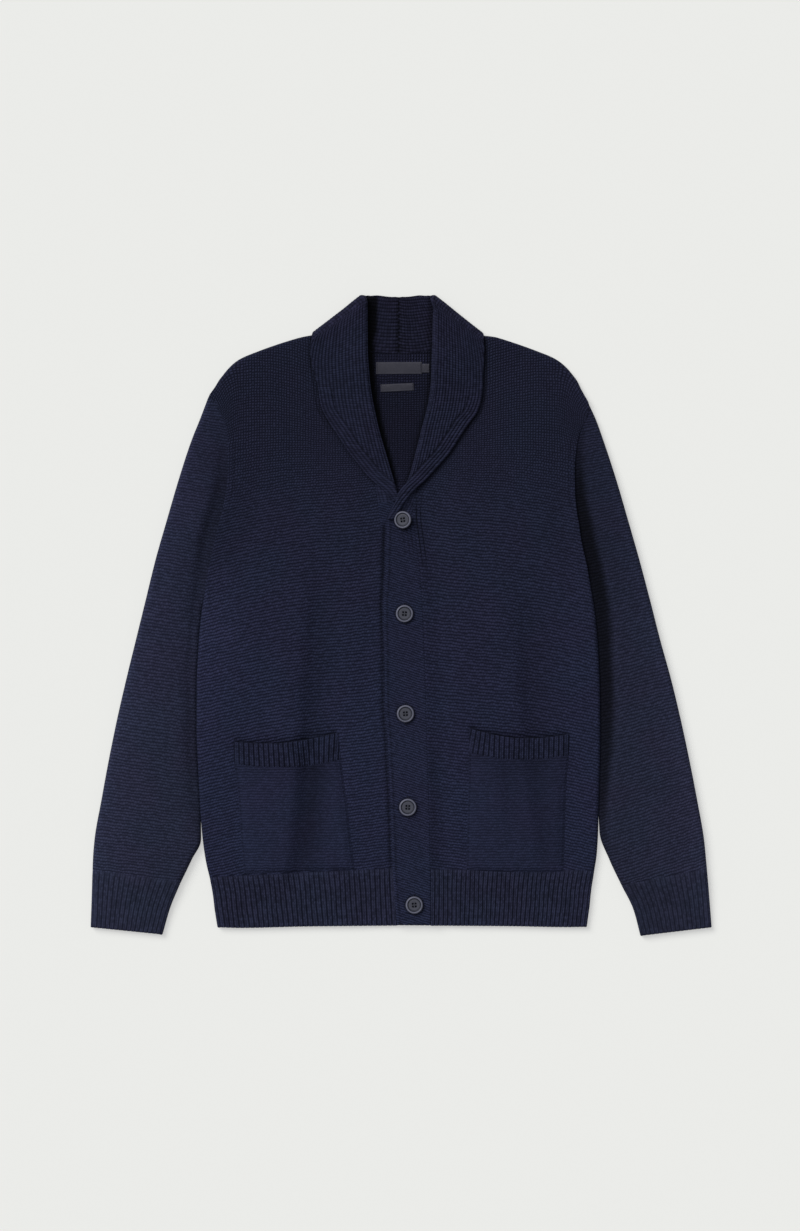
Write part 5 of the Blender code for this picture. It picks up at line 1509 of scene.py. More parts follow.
def build_collar(side):
    s, neck, sign = SIDES[side], NECKS[side], SIGN[side]
    outers, inners, kind = [], [], []
    rows = list(zip(neck["seam_x"], neck["seam_y"], neck["roll_x"], neck["roll_y"], neck["leaf_x"], neck["leaf_y"]))
    for sx, sy, rx, ry, lx, ly in rows[::-1]:
        seam, roll, leaf = np.array([sx, sy]), np.array([rx, ry + 0.9]), np.array([lx, ly])
        bulge = 0.5 * (seam + leaf) - roll
        bulge /= np.linalg.norm(bulge)
        o, i = strip_section(
            seam, roll, leaf, bulge,
            lambda p, outer: np.full(len(p), 2 * ROLL_OUT if outer else WALL + LEAF_AIR),
            lambda p, outer: np.full(len(p), 0.0 if outer else WALL),
            ROLL_OUT, -1.0,
        )
        outers.append(o)
        inners.append(i)
        kind.append("back")
    for angle, tip in zip(CORNER_ANGLES, CORNER_TIPS[side]):
        o, i = eased(*turn_section(side, angle), tip)
        outers.append(o)
        inners.append(i)
        kind.append("turn")

    def stand_z(p, outer):
        return front_z(p[:, 0], p[:, 1], side) + (0.0 if outer else WALL)

    def leaf_z(p, outer):
        share = np.linalg.norm(p - p[0], axis=1) / max(np.linalg.norm(p[-1] - p[0]), 1e-6)
        loft = 1.1 * np.sin(math.pi * share) * min(1.0, np.linalg.norm(p[-1] - p[0]) / 50.0)
        return front_z(p[:, 0], p[:, 1], side) + WALL + LEAF_AIR + (WALL if outer else 0.0) + loft

    last = s["name"].index("leaf_end")
    for k in range(last + 1):
        seam = np.array([s["seam_x"][k], s["seam_y"][k]])
        roll = np.array([s["roll_x"][k], s["roll_y"][k]])
        leaf = np.array([s["leaf_x"][k], s["leaf_y"][k]])
        bulge = leaf - roll
        bulge /= np.linalg.norm(bulge)
        centre = float(front_z(roll[0], roll[1], side)) + ROLL_OUT
        loft = ROLL_LOFT * float(smooth((last - 0.6 - k) / (last * 0.75)))
        o, i = strip_section(seam, roll, leaf, bulge, stand_z, leaf_z, centre, 1.0, loft)
        outers.append(o)
        inners.append(i)
        kind.append("lapel")
    outers, inners = np.array(outers), np.array(inners)
    steps = 0.5 * np.linalg.norm(np.diff(outers[:, STAND_COLS + ROLL_COLS // 2], axis=0), axis=1) + 0.5 * np.linalg.norm(np.diff(outers, axis=0), axis=2).mean(axis=1)
    spots = np.concatenate([[0.0], np.cumsum(np.maximum(steps, 1.0))])
    n = 4 * int(round(spots[-1] / (2.5 * 4)))
    t = np.linspace(0.0, spots[-1], n + 1)
    both = np.concatenate([outers, inners], axis=2)
    grid = spline(both, spots, t)
    out, inn = grid[..., :3], grid[..., 3:]
    out[..., 2] = np.maximum(out[..., 2], 0.0)
    # how far each point is from the roll and from the leaf's edge, along the section
    run = lengths(out)
    middle = STAND_COLS + ROLL_COLS // 2
    from_roll = run - run[:, middle : middle + 1]
    from_edge = run[:, -1:] - run
    turn_end = spots[len(rows) + 6]
    edge_line = out[:, -1, :2]
    tangent = np.gradient(edge_line, axis=0)
    tangent /= np.maximum(np.linalg.norm(tangent, axis=1), 1e-9)[:, None]
    section = out[:, -1, :2] - out[:, -30, :2]
    section /= np.maximum(np.linalg.norm(section, axis=1), 1e-9)[:, None]
    skew = np.abs(tangent[:, 0] * section[:, 1] - tangent[:, 1] * section[:, 0])
    lapel = smooth((t - turn_end - 40.0) / 60.0)
    skew = (skew * lapel + (1.0 - lapel))[:, None]
    pitch = COLLAR_PITCH[side]
    whole = run[:, -1] - run[:, middle]
    full = float(np.interp(turn_end + 90.0, t, whole))
    on_stand = smooth(-from_roll / 10.0)
    bend = 0.85 * np.exp(-t / 7.5) if side == "left" else 0.30 * np.exp(-t / 6.0)
    u_roll = from_roll / pitch - bend[:, None] * on_stand
    u_edge = (full - from_edge * skew) / pitch
    # the ribs along the edge and those along the roll meet in the short-row slit
    slit = 15.5
    by_edge = smooth((slit - from_edge * skew) / 0.8 + 0.5) * (from_roll > 0)
    straight = smooth((t - turn_end - 96.0) / 8.0)[:, None]
    by_edge = by_edge * straight
    near_roll = (1.0 - by_edge)
    s1, s2 = small_rib(u_roll), small_rib(u_edge)
    rib = s1 * near_roll + s2 * by_edge
    slit_mark = np.exp(-(((from_edge * skew - slit) / 0.9) ** 2)) * straight * (from_roll > 3.0) * smooth((spots[-1] - 30.0 - t) / 30.0)[:, None]
    stitched = 0.5 + 0.5 * np.cos(t[:, None] / 7.5 * 2 * math.pi)
    slit_mark = slit_mark * smooth((stitched - 0.15) / 0.4)
    ends = smooth((spots[-1] - t) / 26.0)[:, None]
    # the ribs are pulled flat where the collar turns over the corner of the neck
    turning = np.clip((t - spots[4] + 6.0) / (spots[10] - spots[4] + 12.0), 0.0, 1.0)[:, None]
    ends = ends * (1.0 - 0.85 * np.sin(math.pi * turning))
    start = smooth((from_roll - run[:, :1] * 0 + run[:, middle : middle + 1]) / 4.0)
    amount = 0.95 * np.clip(0.12 + 0.88 * ends, 0, 1) * start
    height = (rib - 0.6) * amount - 1.2 * slit_mark
    under = (out[..., 2] < 1.2) | ((inn[..., 2] > out[..., 2]))
    height = np.where(under, np.minimum(height * 0.6 - 0.2, 0.0), height)
    # the seam at the centre back: the ends of the two halves' ribs, drawn in by turns
    teeth = 0.7 + 0.5 * np.sin(u_roll * math.pi * (1.0 if side == "right" else -1.0))
    seam_line = np.exp(-(((t[:, None] - teeth) / (1.3 if side == "right" else 0.8)) ** 2))
    height = height - 1.3 * seam_line * smooth(-from_roll / 7.0) + 0.5 * np.exp(-(((t[:, None] - 5.0) / 2.2) ** 2)) * (s1 - 0.3)
    bare = out.copy()
    out = raise_ribs(out, inn, height, 1.0)
    out[..., 2] = np.maximum(out[..., 2], 0.02)
    cell_u = np.where(by_edge > 0.5, u_edge, u_roll)
    cloth = Cloth(f"rib_collar_{side}")
    course = t[:, None] / 3.05 + 0.0 * run
    uv = np.stack([cell_u, course], axis=-1)
    kind_map = np.stack([1.0 + 0.0 * run, np.broadcast_to(t[:, None], run.shape)], axis=-1)
    # painted shade and painted shadow: darker on the stand behind the neck and beside the rolls, darker along the
    # centre-back seam, painted shade in the grooves between the ribs' ends there with a painted highlight on their
    # crests, and painted shade in the short-row slit
    behind = 1.0 - smooth((t - spots[3] + 30.0) / 40.0)[:, None]
    hollow = 1.0 - (1.0 - neck_painted_shadow(out[..., 0], out[..., 1])) * smooth((-0.5 - from_roll) / 4.0)
    reach = 4.2 if side == "right" else 9.0
    strokes = (1.0 - s1) * np.exp(-((t[:, None] / reach) ** 2)) * on_stand
    pale = s1 * np.exp(-(((t[:, None] - 4.0) / 4.0) ** 2)) * on_stand
    shade = (1.0 - 0.60 * slit_mark) * (1.0 - 0.27 * behind) * hollow * (1.0 - 0.85 * seam_line * behind)
    shade = shade * (1.0 - (0.72 if side == "right" else 0.5) * strokes * behind) * (1.0 + 0.25 * pale * behind)
    cloth.patch(out, inn, uv, kind_map, shade=shade)
    # the band below: one layer, from its seam to its free edge
    cols = STAND_COLS + 1
    first_out, first_in = out[-1, :cols], inn[-1, :cols]
    seam_c, free_c = curve_of(side, "seam"), curve_of(side, "roll")
    low = HEM[f"{side}_y"][-1]
    last_row = len(s["name"]) - 1

    def lines(q):
        """Seam and free edge of the band; q runs on past the hem's seam to its end."""
        inside = np.minimum(q, last_row)
        a, b = seam_c(inside), free_c(inside)
        over = np.clip(q - last_row, 0.0, 1.0)[:, None]
        a = a + (np.array([HEM_SEAM[side], low + 1.7]) - seam_c(np.array([last_row]))) * over
        b = b + (np.array([HEM_FREE[side], low + 1.7]) - free_c(np.array([last_row]))) * over
        return a, b

    q = even(lambda v: 0.5 * sum(lines(v)), float(last), last_row + 1.0, 2.6, 4, keep=(last_row,))
    a, b = lines(q)
    off = np.clip((q - last) * 1.0, 0.0, 1.0)[:, None]
    b[:, 0] -= (SIGN[side] * -1.0) * 1.0 * off[:, 0]
    xy = a[:, None, :] + (b - a)[:, None, :] * STAND_SHARE[None, :, None]
    z = front_z(xy[..., 0], xy[..., 1], side)
    if side == "right":
        shade_band = body_painted_light_and_shade(xy[..., 0], xy[..., 1])
    else:  # painted shadow: a dark ring round each button
        shade_band = np.ones(xy.shape[:2])
        for _, bx, by, _ in BUTTONS:
            away = np.maximum(np.hypot(xy[..., 0] - bx, xy[..., 1] - by) - 10.2, 0.0)
            shade_band = shade_band * (1.0 - 0.66 * np.exp(-((away / 2.0) ** 2)))
    band_out = np.concatenate([xy, z[..., None]], axis=2)
    band_in = np.concatenate([xy, (z + WALL)[..., None]], axis=2)
    w = smooth((q - last) / 0.9)[:, None, None]
    band_out = first_out[None] * 0 + band_out
    band_out = band_out + (first_out - band_out[0])[None] * (1 - w)
    band_in = band_in + (first_in - band_in[0])[None] * (1 - w)
    # on the band it is the upper skin that shows: soft rolls along its two edges
    wide = lengths(band_in)
    full_w = wide[:, -1:]
    roll_edge = np.exp(-(((full_w - wide) / 4.0) ** 2)) * 0.35 + np.exp(-((wide / 4.0) ** 2)) * 0.2
    band_in[..., 2] += (roll_edge * w[..., 0]) * 1.0
    if side == "left":
        # painted shade in a groove beside the chain along its free edge, a painted highlight on the chain, and three
        # wales made darker where they run down from the lapel
        dashes = 0.62 + 0.38 * np.cos(2 * math.pi * xy[..., 1] / 3.3)
        groove = dashes * np.exp(-(((full_w - wide - 2.7) / 1.1) ** 2))
        chain = (1.0 - dashes) * 1.6 * np.exp(-(((full_w - wide - 0.6) / 1.0) ** 2))
        shade_band = shade_band * (1.0 - 0.50 * groove) * (1.0 + 0.12 * chain)
        upper = smooth((xy[..., 1] - 64.0) / 26.0) * smooth((154.0 - xy[..., 1]) / 8.0)
        for n, off in enumerate((3.9, 8.9, 14.9)):
            lean = off + 0.02 * (xy[..., 1] - 110.0) * (n - 1)
            shade_band = shade_band * (1.0 - (0.42, 0.40, 0.30)[n] * upper * np.exp(-(((wide - lean) / 0.95) ** 2)))
    run_q = np.concatenate([[0.0], np.cumsum(np.linalg.norm(np.diff(0.5 * (a + b), axis=0), axis=1))])
    slant = math.tan(math.radians(18.5))
    band_v = (t[-1] + run_q)[:, None] / 3.05 + slant * SIGN[side] * 0 + 0.0
    band_v = band_v - (xy[..., 0] - 3.0) * slant / 3.15
    band_u = wide / 2.9
    below = np.stack([np.zeros_like(wide), -run_q[:, None] + 0.0 * wide], axis=-1)
    cloth.patch(band_out, band_in, np.stack([band_u, band_v], axis=-1), below, coarse=(1, 1), shade=shade_band)
    obj = cloth.build(MATERIALS["collar"])
    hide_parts(f"collar_back_{side}", f"collar_band_{side}")
    return obj


# ---------------------------------------------------------------- pockets
def pocket_points(side, at_row, u):
    p = POCKET
    spots = np.arange(len(p["name"]), dtype=float)
    x0, x1, y0, y1, sag = (through(spots, p[f"{side}_{key}"], at_row)[:, None] for key in ("x0", "x1", "y0", "y1", "sag"))
    x = x0 + (x1 - x0) * u
    y = y0 + (y1 - y0) * u - sag * 4.0 * u * (1.0 - u)
    gape = POCKET_GAPE * np.sin(math.pi * np.clip(u, 0, 1)) ** 1.2 * np.exp(-((at_row / 1.25) ** 2))[:, None]
    z = front_z(x, y, side, plain=True) + WALL + 0.5 + gape
    return x, y, z


def sewn_down(wide, x0, tall, y0, reach=2.2):
    """How much a sewn edge draws the pocket down to the front: 1 at the edge."""
    return np.exp(-((np.minimum(x0, wide - x0) / reach) ** 2))


def build_pocket(side):
    names = POCKET["name"]
    first, last = names.index("border_end"), names.index("bottom")
    rows = np.linspace(first, last, 57)
    u = np.linspace(0.0, 1.0, 53)[None, :]
    x, y, z = pocket_points(side, rows, u)
    y = y - np.linspace(SEAM * 0.5 + 0.5, 0.0, len(rows))[:, None] * (rows <= rows[0] + 0.2)[:, None]
    wide = (x[:, -1:] - x[:, :1])
    off = (x - x[:, :1])
    side_d = np.minimum(off, wide - off)
    bottom_d = (y - y[-1:, :])
    edge = np.maximum(np.exp(-((side_d / 6.0) ** 2)), np.exp(-((bottom_d / 5.0) ** 2)))
    beads = 0.5 + 0.5 * np.cos(2 * math.pi * y / 5.6 + np.where(off < wide / 2, 0.0, 1.9))
    ridge = (0.25 + 0.75 * beads) * np.exp(-(((side_d - 1.8) / 1.3) ** 2)) * smooth((bottom_d - 6) / 4.0)
    ridge = ridge + 0.8 * np.exp(-(((bottom_d - 5.5) / 2.4) ** 2)) * smooth((side_d - 6) / 6.0)
    top = z + WALL - 3.1 * edge + 0.8 * ridge
    out = np.stack([x, y, top], axis=-1)
    inn = np.stack([x, y, top - WALL + 1.6 * edge], axis=-1)
    cloth = Cloth(f"knit_pocket_{side}", lip=0.5)
    uv = np.stack([x / 3.1, y / 3.35], axis=-1)
    place = np.stack([side_d, bottom_d], axis=-1)
    # painted shade and painted light of the body, a little deeper on the left pocket
    shade = body_painted_light_and_shade(x, y, plain=True) * (1.0 if side == "right" else 0.96)
    # dots along the sewn bottom edge darker, and a painted highlight on the ridge above it
    dots = 0.5 + 0.5 * np.cos(2 * math.pi * x / 4.3)
    shade = shade * (1.0 - 0.26 * dots * np.exp(-((bottom_d / 1.6) ** 2))) * (1.0 + 0.18 * np.exp(-(((bottom_d - 5.0) / 2.2) ** 2)))
    # painted highlight on the links of the chain along the sides
    links = 0.5 + 0.5 * np.cos(2 * math.pi * y / 5.6 + np.where(off < wide / 2, 0.0, 1.9))
    shade = shade * (1.0 + 0.42 * links * np.exp(-(((side_d - 1.2) / 1.5) ** 2)) * smooth((bottom_d - 6) / 4.0))
    # painted shade under the border at the top
    under = (1.0 - np.linspace(0.0, 1.0, len(rows))[:, None]) * 110.0
    shade = shade * (1.0 - 0.14 * np.exp(-((110.0 - under) / 9.0)))
    if side == "right":  # painted shade on the outer side of the fold that runs down through it
        line = np.interp(y, (-300.0, -230.0, -190.0, -130.0), (-118.0, -111.0, -107.0, -102.0))
        over = x - line
        shade = shade * (1.0 - 0.20 * np.exp(-((over / np.where(over < 0, 3.5, 14.0)) ** 2)) * smooth((y + 305.0) / 40.0))
    cloth.patch(out, inn, uv, place, shade=shade)
    obj = cloth.build(MATERIALS["pocket"])
    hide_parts(f"pocket_{side}")
    return obj


POCKET_RIBS = {"right": 21, "left": 20}


def build_pocket_border(side):
    names = POCKET["name"]
    rows = np.linspace(0.035, 1.0, 17)
    ribs = POCKET_RIBS[side]
    u = np.linspace(0.0, 1.0, ribs * 12 + 1)[None, :]
    x, y, z = pocket_points(side, rows, u)
    out = np.stack([x, y, z + WALL], axis=-1)
    inn = np.stack([x, y, z], axis=-1)
    rib = u * ribs + 0.0 * x
    fan = 0.55 * smooth((u - 0.62) / 0.38) if side == "right" else 0.35 * smooth((0.30 - u) / 0.30)
    k = np.linspace(0.0, 1.0, len(rows))[:, None]
    rib = rib + fan * (k - 0.5) * 1.8
    # the rib stands rounded at the mouth and is sewn down at its two ends
    side_d = np.minimum(x - x[:, :1], x[:, -1:] - x)
    edge = np.exp(-((side_d / 6.0) ** 2))
    out[..., 2] -= 3.1 * edge
    inn[..., 2] = out[..., 2] - WALL + 1.6 * edge
    height = (rib_height(rib) - 0.55) * (0.85 + 0.15 * k) * smooth((side_d + 1.0) / 3.0)
    out = raise_ribs(out, inn, height, 1.3)
    cloth = Cloth(f"rib_pocket_{side}", lip=0.8)
    v = -k * 27.0 / 3.2 + 0.0 * x
    cloth.patch(out, inn, np.stack([rib, v], axis=-1))
    obj = cloth.build(MATERIALS["border"])
    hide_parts(f"pocket_border_{side}")
    return obj


# ================================================================ materials
class Graph:
    """Short names for the nodes of one material."""

    def __init__(self, name):
        self.material = bpy.data.materials.new(name)
        self.material.use_nodes = True
        self.tree = self.material.node_tree
        self.shader = self.tree.nodes["Principled BSDF"]

    def node(self, kind, **inputs):
        n = self.tree.nodes.new(kind)
        for key, value in inputs.items():
            self.set(n.inputs[key.replace("_", " ")], value)
        return n

    def set(self, socket, value):
        if isinstance(value, bpy.types.NodeSocket):
            self.tree.links.new(value, socket)
        else:
            socket.default_value = value

    def math(self, operation, *values, clamp=False):
        n = self.tree.nodes.new("ShaderNodeMath")
        n.operation = operation
        n.use_clamp = clamp
        for socket, value in zip(n.inputs, values):
            self.set(socket, value)
        return n.outputs[0]

    def add(self, a, b):
        return self.math("ADD", a, b)

    def sub(self, a, b):
        return self.math("SUBTRACT", a, b)

    def mul(self, a, b):
        return self.math("MULTIPLY", a, b)

    def bell(self, x, width):
        """exp(-(x / width)^2)"""
        q = self.math("DIVIDE", x, width)
        return self.math("EXPONENT", self.mul(self.mul(q, q), -1.0))

    def step(self, x, low, high):
        n = self.tree.nodes.new("ShaderNodeMapRange")
        n.interpolation_type = "SMOOTHSTEP"
        self.set(n.inputs["Value"], x)
        self.set(n.inputs["From Min"], low)
        self.set(n.inputs["From Max"], high)
        n.inputs["To Min"].default_value = 0.0
        n.inputs["To Max"].default_value = 1.0
        return n.outputs["Result"]

    def map(self, x, low, high, to_low, to_high):
        n = self.tree.nodes.new("ShaderNodeMapRange")
        self.set(n.inputs["Value"], x)
        for key, value in (("From Min", low), ("From Max", high), ("To Min", to_low), ("To Max", to_high)):
            self.set(n.inputs[key], value)
        return n.outputs["Result"]

    def mix(self, factor, a, b):
        """a + (b - a) * factor for numbers."""
        n = self.tree.nodes.new("ShaderNodeMix")
        n.data_type = "FLOAT"
        self.set(n.inputs[0], factor)
        self.set(n.inputs[2], a)
        self.set(n.inputs[3], b)
        return n.outputs[0]

    def mix_colour(self, factor, a, b, blend="MIX"):
        n = self.tree.nodes.new("ShaderNodeMix")
        n.data_type = "RGBA"
        n.blend_type = blend
        self.set(n.inputs[0], factor)
        self.set(n.inputs[6], a)
        self.set(n.inputs[7], b)
        return n.outputs[2]

    def uv(self, name):
        n = self.tree.nodes.new("ShaderNodeUVMap")
        n.uv_map = name
        split = self.tree.nodes.new("ShaderNodeSeparateXYZ")
        self.tree.links.new(n.outputs[0], split.inputs[0])
        return split.outputs[0], split.outputs[1]

    def position(self):
        n = self.tree.nodes.new("ShaderNodeTexCoord")
        split = self.tree.nodes.new("ShaderNodeSeparateXYZ")
        self.tree.links.new(n.outputs["Object"], split.inputs[0])
        return n.outputs["Object"], split.outputs[0], split.outputs[1], split.outputs[2]

    def noise(self, vector, scale, detail=2.0, rough=0.5):
        n = self.tree.nodes.new("ShaderNodeTexNoise")
        self.tree.links.new(vector, n.inputs["Vector"])
        n.inputs["Scale"].default_value = scale
        n.inputs["Detail"].default_value = detail
        n.inputs["Roughness"].default_value = rough
        return n.outputs["Fac"]

    def chance(self, a, b=0.0):
        """A fixed random number for a pair of whole numbers."""
        n = self.tree.nodes.new("ShaderNodeTexWhiteNoise")
        n.noise_dimensions = "2D"
        join = self.tree.nodes.new("ShaderNodeCombineXYZ")
        self.set(join.inputs[0], a)
        self.set(join.inputs[1], b)
        self.tree.links.new(join.outputs[0], n.inputs["Vector"])
        return n.outputs["Value"]

    def attribute(self, name):
        n = self.tree.nodes.new("ShaderNodeAttribute")
        n.attribute_name = name
        return n.outputs["Fac"]


NAVY_DARK = (0.0064, 0.0073, 0.0168, 1.0)
NAVY_LIGHT = (0.0188, 0.0216, 0.0466, 1.0)


def unsteady(g, u, v, along=0.36, across=0.55):
    """Hand and yarn are never even: stitches wander a little from their rows."""
    vector, x, y, z = g.position()
    v = g.add(v, g.mul(g.sub(g.noise(vector, 62.0, 2.0, 0.6), 0.5), across * 2.0))
    u = g.add(u, g.mul(g.sub(g.noise(vector, 105.0, 1.0, 0.5), 0.5), along * 2.0))
    return u, v


def purl(g, u, v, arc=0.42, tall=0.46, long=0.42, grid=0.0):
    """Purl bumps: each course a row of short arcs, each row half a stitch on from the
    last; where grid is 1 they stand in columns instead. Gives the height, 0 to about 1,
    and a random number for the stitch."""
    u, v = unsteady(g, u, v)
    row = g.math("FLOOR", v)
    fv = g.sub(g.sub(v, row), 0.5)
    odd = g.math("FLOORED_MODULO", row, 2.0)
    sway = g.mul(g.sub(g.chance(row, 7.0), 0.5), 0.22)
    shift = g.mul(g.add(g.mul(odd, 0.5), sway), g.sub(1.0, grid))
    uu = g.add(u, shift)
    col = g.math("FLOOR", uu)
    fu = g.sub(g.sub(uu, col), 0.5)
    rnd = g.chance(col, row)
    bend = g.sub(g.mul(g.mul(fu, fu), arc), arc / 12.0)
    fa = g.add(fv, bend)
    fa = g.add(fa, g.mul(g.sub(g.chance(row, col), 0.5), 0.22))
    q = g.math("DIVIDE", fa, tall)
    bar = g.math("MAXIMUM", g.sub(1.0, g.mul(q, q)), 0.0)
    ends = g.step(g.math("ABSOLUTE", fu), 0.5, long - 0.16)
    low = g.mix(grid, 0.64, 0.10)
    height = g.mul(bar, g.add(low, g.mul(ends, g.sub(1.0, low))))
    height = g.mul(height, g.add(0.72, g.mul(rnd, 0.42)))
    if grid != 0.0:  # the wales stand apart there
        gaps = g.bell(g.sub(0.5, g.math("ABSOLUTE", fu)), 0.17)
        height = g.mul(height, g.sub(1.0, g.mul(g.mul(gaps, grid), 0.95)))
        height = g.mul(g.add(height, g.mul(grid, 0.04)), g.add(1.0, g.mul(grid, 0.40)))
    return height, rnd, row, col


def plain_columns(g, u, v):
    """Plain stitches in a column: slanting legs either side, one pair to a course."""
    col = g.math("FLOOR", u)
    fu = g.sub(g.sub(u, col), 0.5)
    lean = g.mul(g.math("ABSOLUTE", fu), 0.9)
    vv = g.add(v, lean)
    row = g.math("FLOOR", vv)
    fv = g.sub(g.sub(vv, row), 0.5)
    rnd = g.chance(col, row)
    q = g.math("DIVIDE", fv, 0.54)
    leg = g.math("MAXIMUM", g.sub(1.0, g.mul(q, q)), 0.0)
    return leg, rnd


def between(a, b, share):
    return tuple(p + (q - p) * share for p, q in zip(a, b))


def finish_knit(g, height, rnd, depth, relief, low=0.0, high=1.0, tone=1.0, spread=0.24, lines=None, contrast=1.0, hue_low=(1.0, 1.0, 1.0, 1.0), raised_highlight=None, cast=None):
    """Colour, roughness and bump from the stitches' height. contrast is 1 for stitches
    that stand well apart, and less where they lie flatter."""
    middle = between(NAVY_DARK, NAVY_LIGHT, 0.56)
    dark, light = between(middle, NAVY_DARK, contrast), between(middle, NAVY_LIGHT, contrast)
    vector, x, y, z = g.position()
    fibre = g.noise(vector, 900.0, 2.0, 0.6)
    coarse = g.noise(vector, 260.0, 1.0, 0.5)
    rough_height = g.add(height, g.mul(g.sub(fibre, 0.5), 0.30))
    fac = g.step(rough_height, low, high)
    # each stitch, and the yarn along its length, is a little lighter or darker
    variation_and_shade = g.add(1.0 - spread / 2.0, g.mul(rnd, spread))
    variation_and_shade = g.mul(variation_and_shade, g.add(0.89, g.mul(coarse, 0.22)))
    broad = g.noise(vector, 11.0, 2.0, 0.55)
    variation_and_shade = g.mul(variation_and_shade, g.add(0.96, g.mul(broad, 0.08)))
    # painted shade: the cloth is made deeper in tone at the shoulders than lower down
    up = g.step(y, -0.26, 0.33)
    variation_and_shade = g.mul(variation_and_shade, g.mix(up, 1.06, 0.86))
    # the outer parts of the sleeves are made paler
    out = g.math("ABSOLUTE", x)
    variation_and_shade = g.mul(variation_and_shade, g.mix(g.step(out, 0.25, 0.37), 1.0, 1.12))
    # the shade attribute: painted shade and painted light
    variation_and_shade = g.mul(variation_and_shade, g.attribute("shade"))
    if raised_highlight is not None:
        variation_and_shade = g.mul(variation_and_shade, g.add(1.0, raised_highlight))
    if lines is not None:
        fac = g.mul(fac, g.sub(1.0, lines))
        variation_and_shade = g.mul(variation_and_shade, g.sub(1.0, g.mul(lines, 0.35)))
    colour = g.mix_colour(fac, dark, light)
    colour = g.mix_colour(1.0, colour, g.mix_colour(up, hue_low, (1.0, 1.0, 1.0, 1.0)), "MULTIPLY")
    if cast is not None:
        colour = g.mix_colour(1.0, colour, cast, "MULTIPLY")
    hue = g.noise(vector, 16.0, 2.0, 0.55)
    tint = g.mix_colour(g.step(hue, 0.30, 0.70), (0.965, 1.03, 1.01, 1.0), (1.04, 0.97, 0.99, 1.0))
    colour = g.mix_colour(1.0, colour, tint, "MULTIPLY")
    strength = g.mul(variation_and_shade, tone)
    join = g.tree.nodes.new("ShaderNodeCombineColor")
    for n in range(3):
        g.set(join.inputs[n], strength)
    colour = g.mix_colour(1.0, colour, join.outputs[0], "MULTIPLY")
    g.set(g.shader.inputs["Base Color"], colour)
    g.set(g.shader.inputs["Roughness"], g.map(fibre, 0.2, 0.8, 0.80, 0.97))
    g.shader.inputs["Specular IOR Level"].default_value = 0.07
    g.shader.inputs["Sheen Weight"].default_value = 0.03
    g.shader.inputs["Sheen Roughness"].default_value = 0.45
    g.shader.inputs["Sheen Tint"].default_value = (0.50, 0.62, 1.0, 1.0)
    bump = g.tree.nodes.new("ShaderNodeBump")
    bump.inputs["Strength"].default_value = 1.0
    bump.inputs["Distance"].default_value = depth * contrast
    total = g.add(g.mul(height, relief), g.mul(g.sub(fibre, 0.5), 0.16))
    if lines is not None:
        total = g.sub(total, g.mul(lines, 0.9))
    g.tree.links.new(total, bump.inputs["Height"])
    g.tree.links.new(bump.outputs["Normal"], g.shader.inputs["Normal"])
    return g.material


def knit_material(name, tone=1.0, kind="sleeve"):
    g = Graph(name)
    u, v = g.uv("stitch")
    vector, x, y, z = g.position()
    grid = g.step(y, 0.11, 0.25) if kind in ("front", "back") else 0.0
    height, rnd, row, col = purl(g, u, v, grid=grid)
    lines, raised_highlight = None, None
    if kind == "front":
        # the shaping that runs beside the collar seam, and beside the armhole
        from_seam, from_edge = g.uv("place")
        high = g.step(y, 0.215, 0.245)
        marks = g.add(g.bell(g.sub(from_seam, 10.5), 0.75), g.mul(g.bell(g.sub(from_seam, 16.0), 0.7), 0.7))
        marks = g.mul(marks, high)
        mid = g.mul(g.mul(g.step(y, 0.045, 0.085), g.step(y, 0.15, 0.12)), g.step(x, -0.03, 0.0))
        marks = g.add(marks, g.mul(g.add(g.bell(g.sub(from_seam, 4.2), 0.7), g.mul(g.bell(g.sub(from_seam, 9.6), 0.7), 0.8)), mid))
        arm = g.mul(g.step(y, 0.24, 0.20), g.step(y, 0.11, 0.16))
        marks = g.add(marks, g.mul(g.bell(g.sub(from_edge, 6.5), 0.8), g.mul(arm, 0.40)))
        lines = g.math("MINIMUM", marks, 1.0)
    if kind == "back":
        # the first courses below the neckline stand up in little ribs
        near = g.mul(g.add(g.step(y, 0.305, 0.311), g.mul(g.step(y, 0.276, 0.29), 0.30)), g.mul(g.step(y, 0.3215, 0.3195), 0.77))
        rib = g.bell(g.sub(g.sub(g.mul(x, 1000.0 / 3.4), g.math("FLOOR", g.mul(x, 1000.0 / 3.4))), 0.5), 0.26)
        seam = g.bell(g.sub(y, 0.3195), 0.0009)
        lines = g.math("MINIMUM", g.add(g.mul(rib, near), seam), 1.0)
        # painted highlight: the little ribs are made paler where they stand up
        raised_highlight = g.mul(near, 0.75)
    if kind == "pocket":
        side_d, bottom_d = g.uv("place")
        beads = g.bell(g.sub(g.sub(g.mul(v, 0.6), g.math("FLOOR", g.mul(v, 0.6))), 0.5), 0.26)
        lines = g.mul(g.bell(g.sub(side_d, 1.3), 1.2), g.add(0.22, g.mul(beads, 0.70)))
    contrast = {"front": 0.95, "back": 0.95, "pocket": 0.60, "sleeve": 0.78}[kind]
    hue = (1.02, 1.01, 0.94, 1.0) if kind == "sleeve" else (0.985, 1.01, 1.075, 1.0)
    return finish_knit(g, height, rnd, 0.0010, 1.0, 0.05, 0.92, tone, lines=lines, contrast=contrast, hue_low=hue, raised_highlight=raised_highlight, cast=(1.03, 0.96, 1.0, 1.0) if kind == "back" else None)


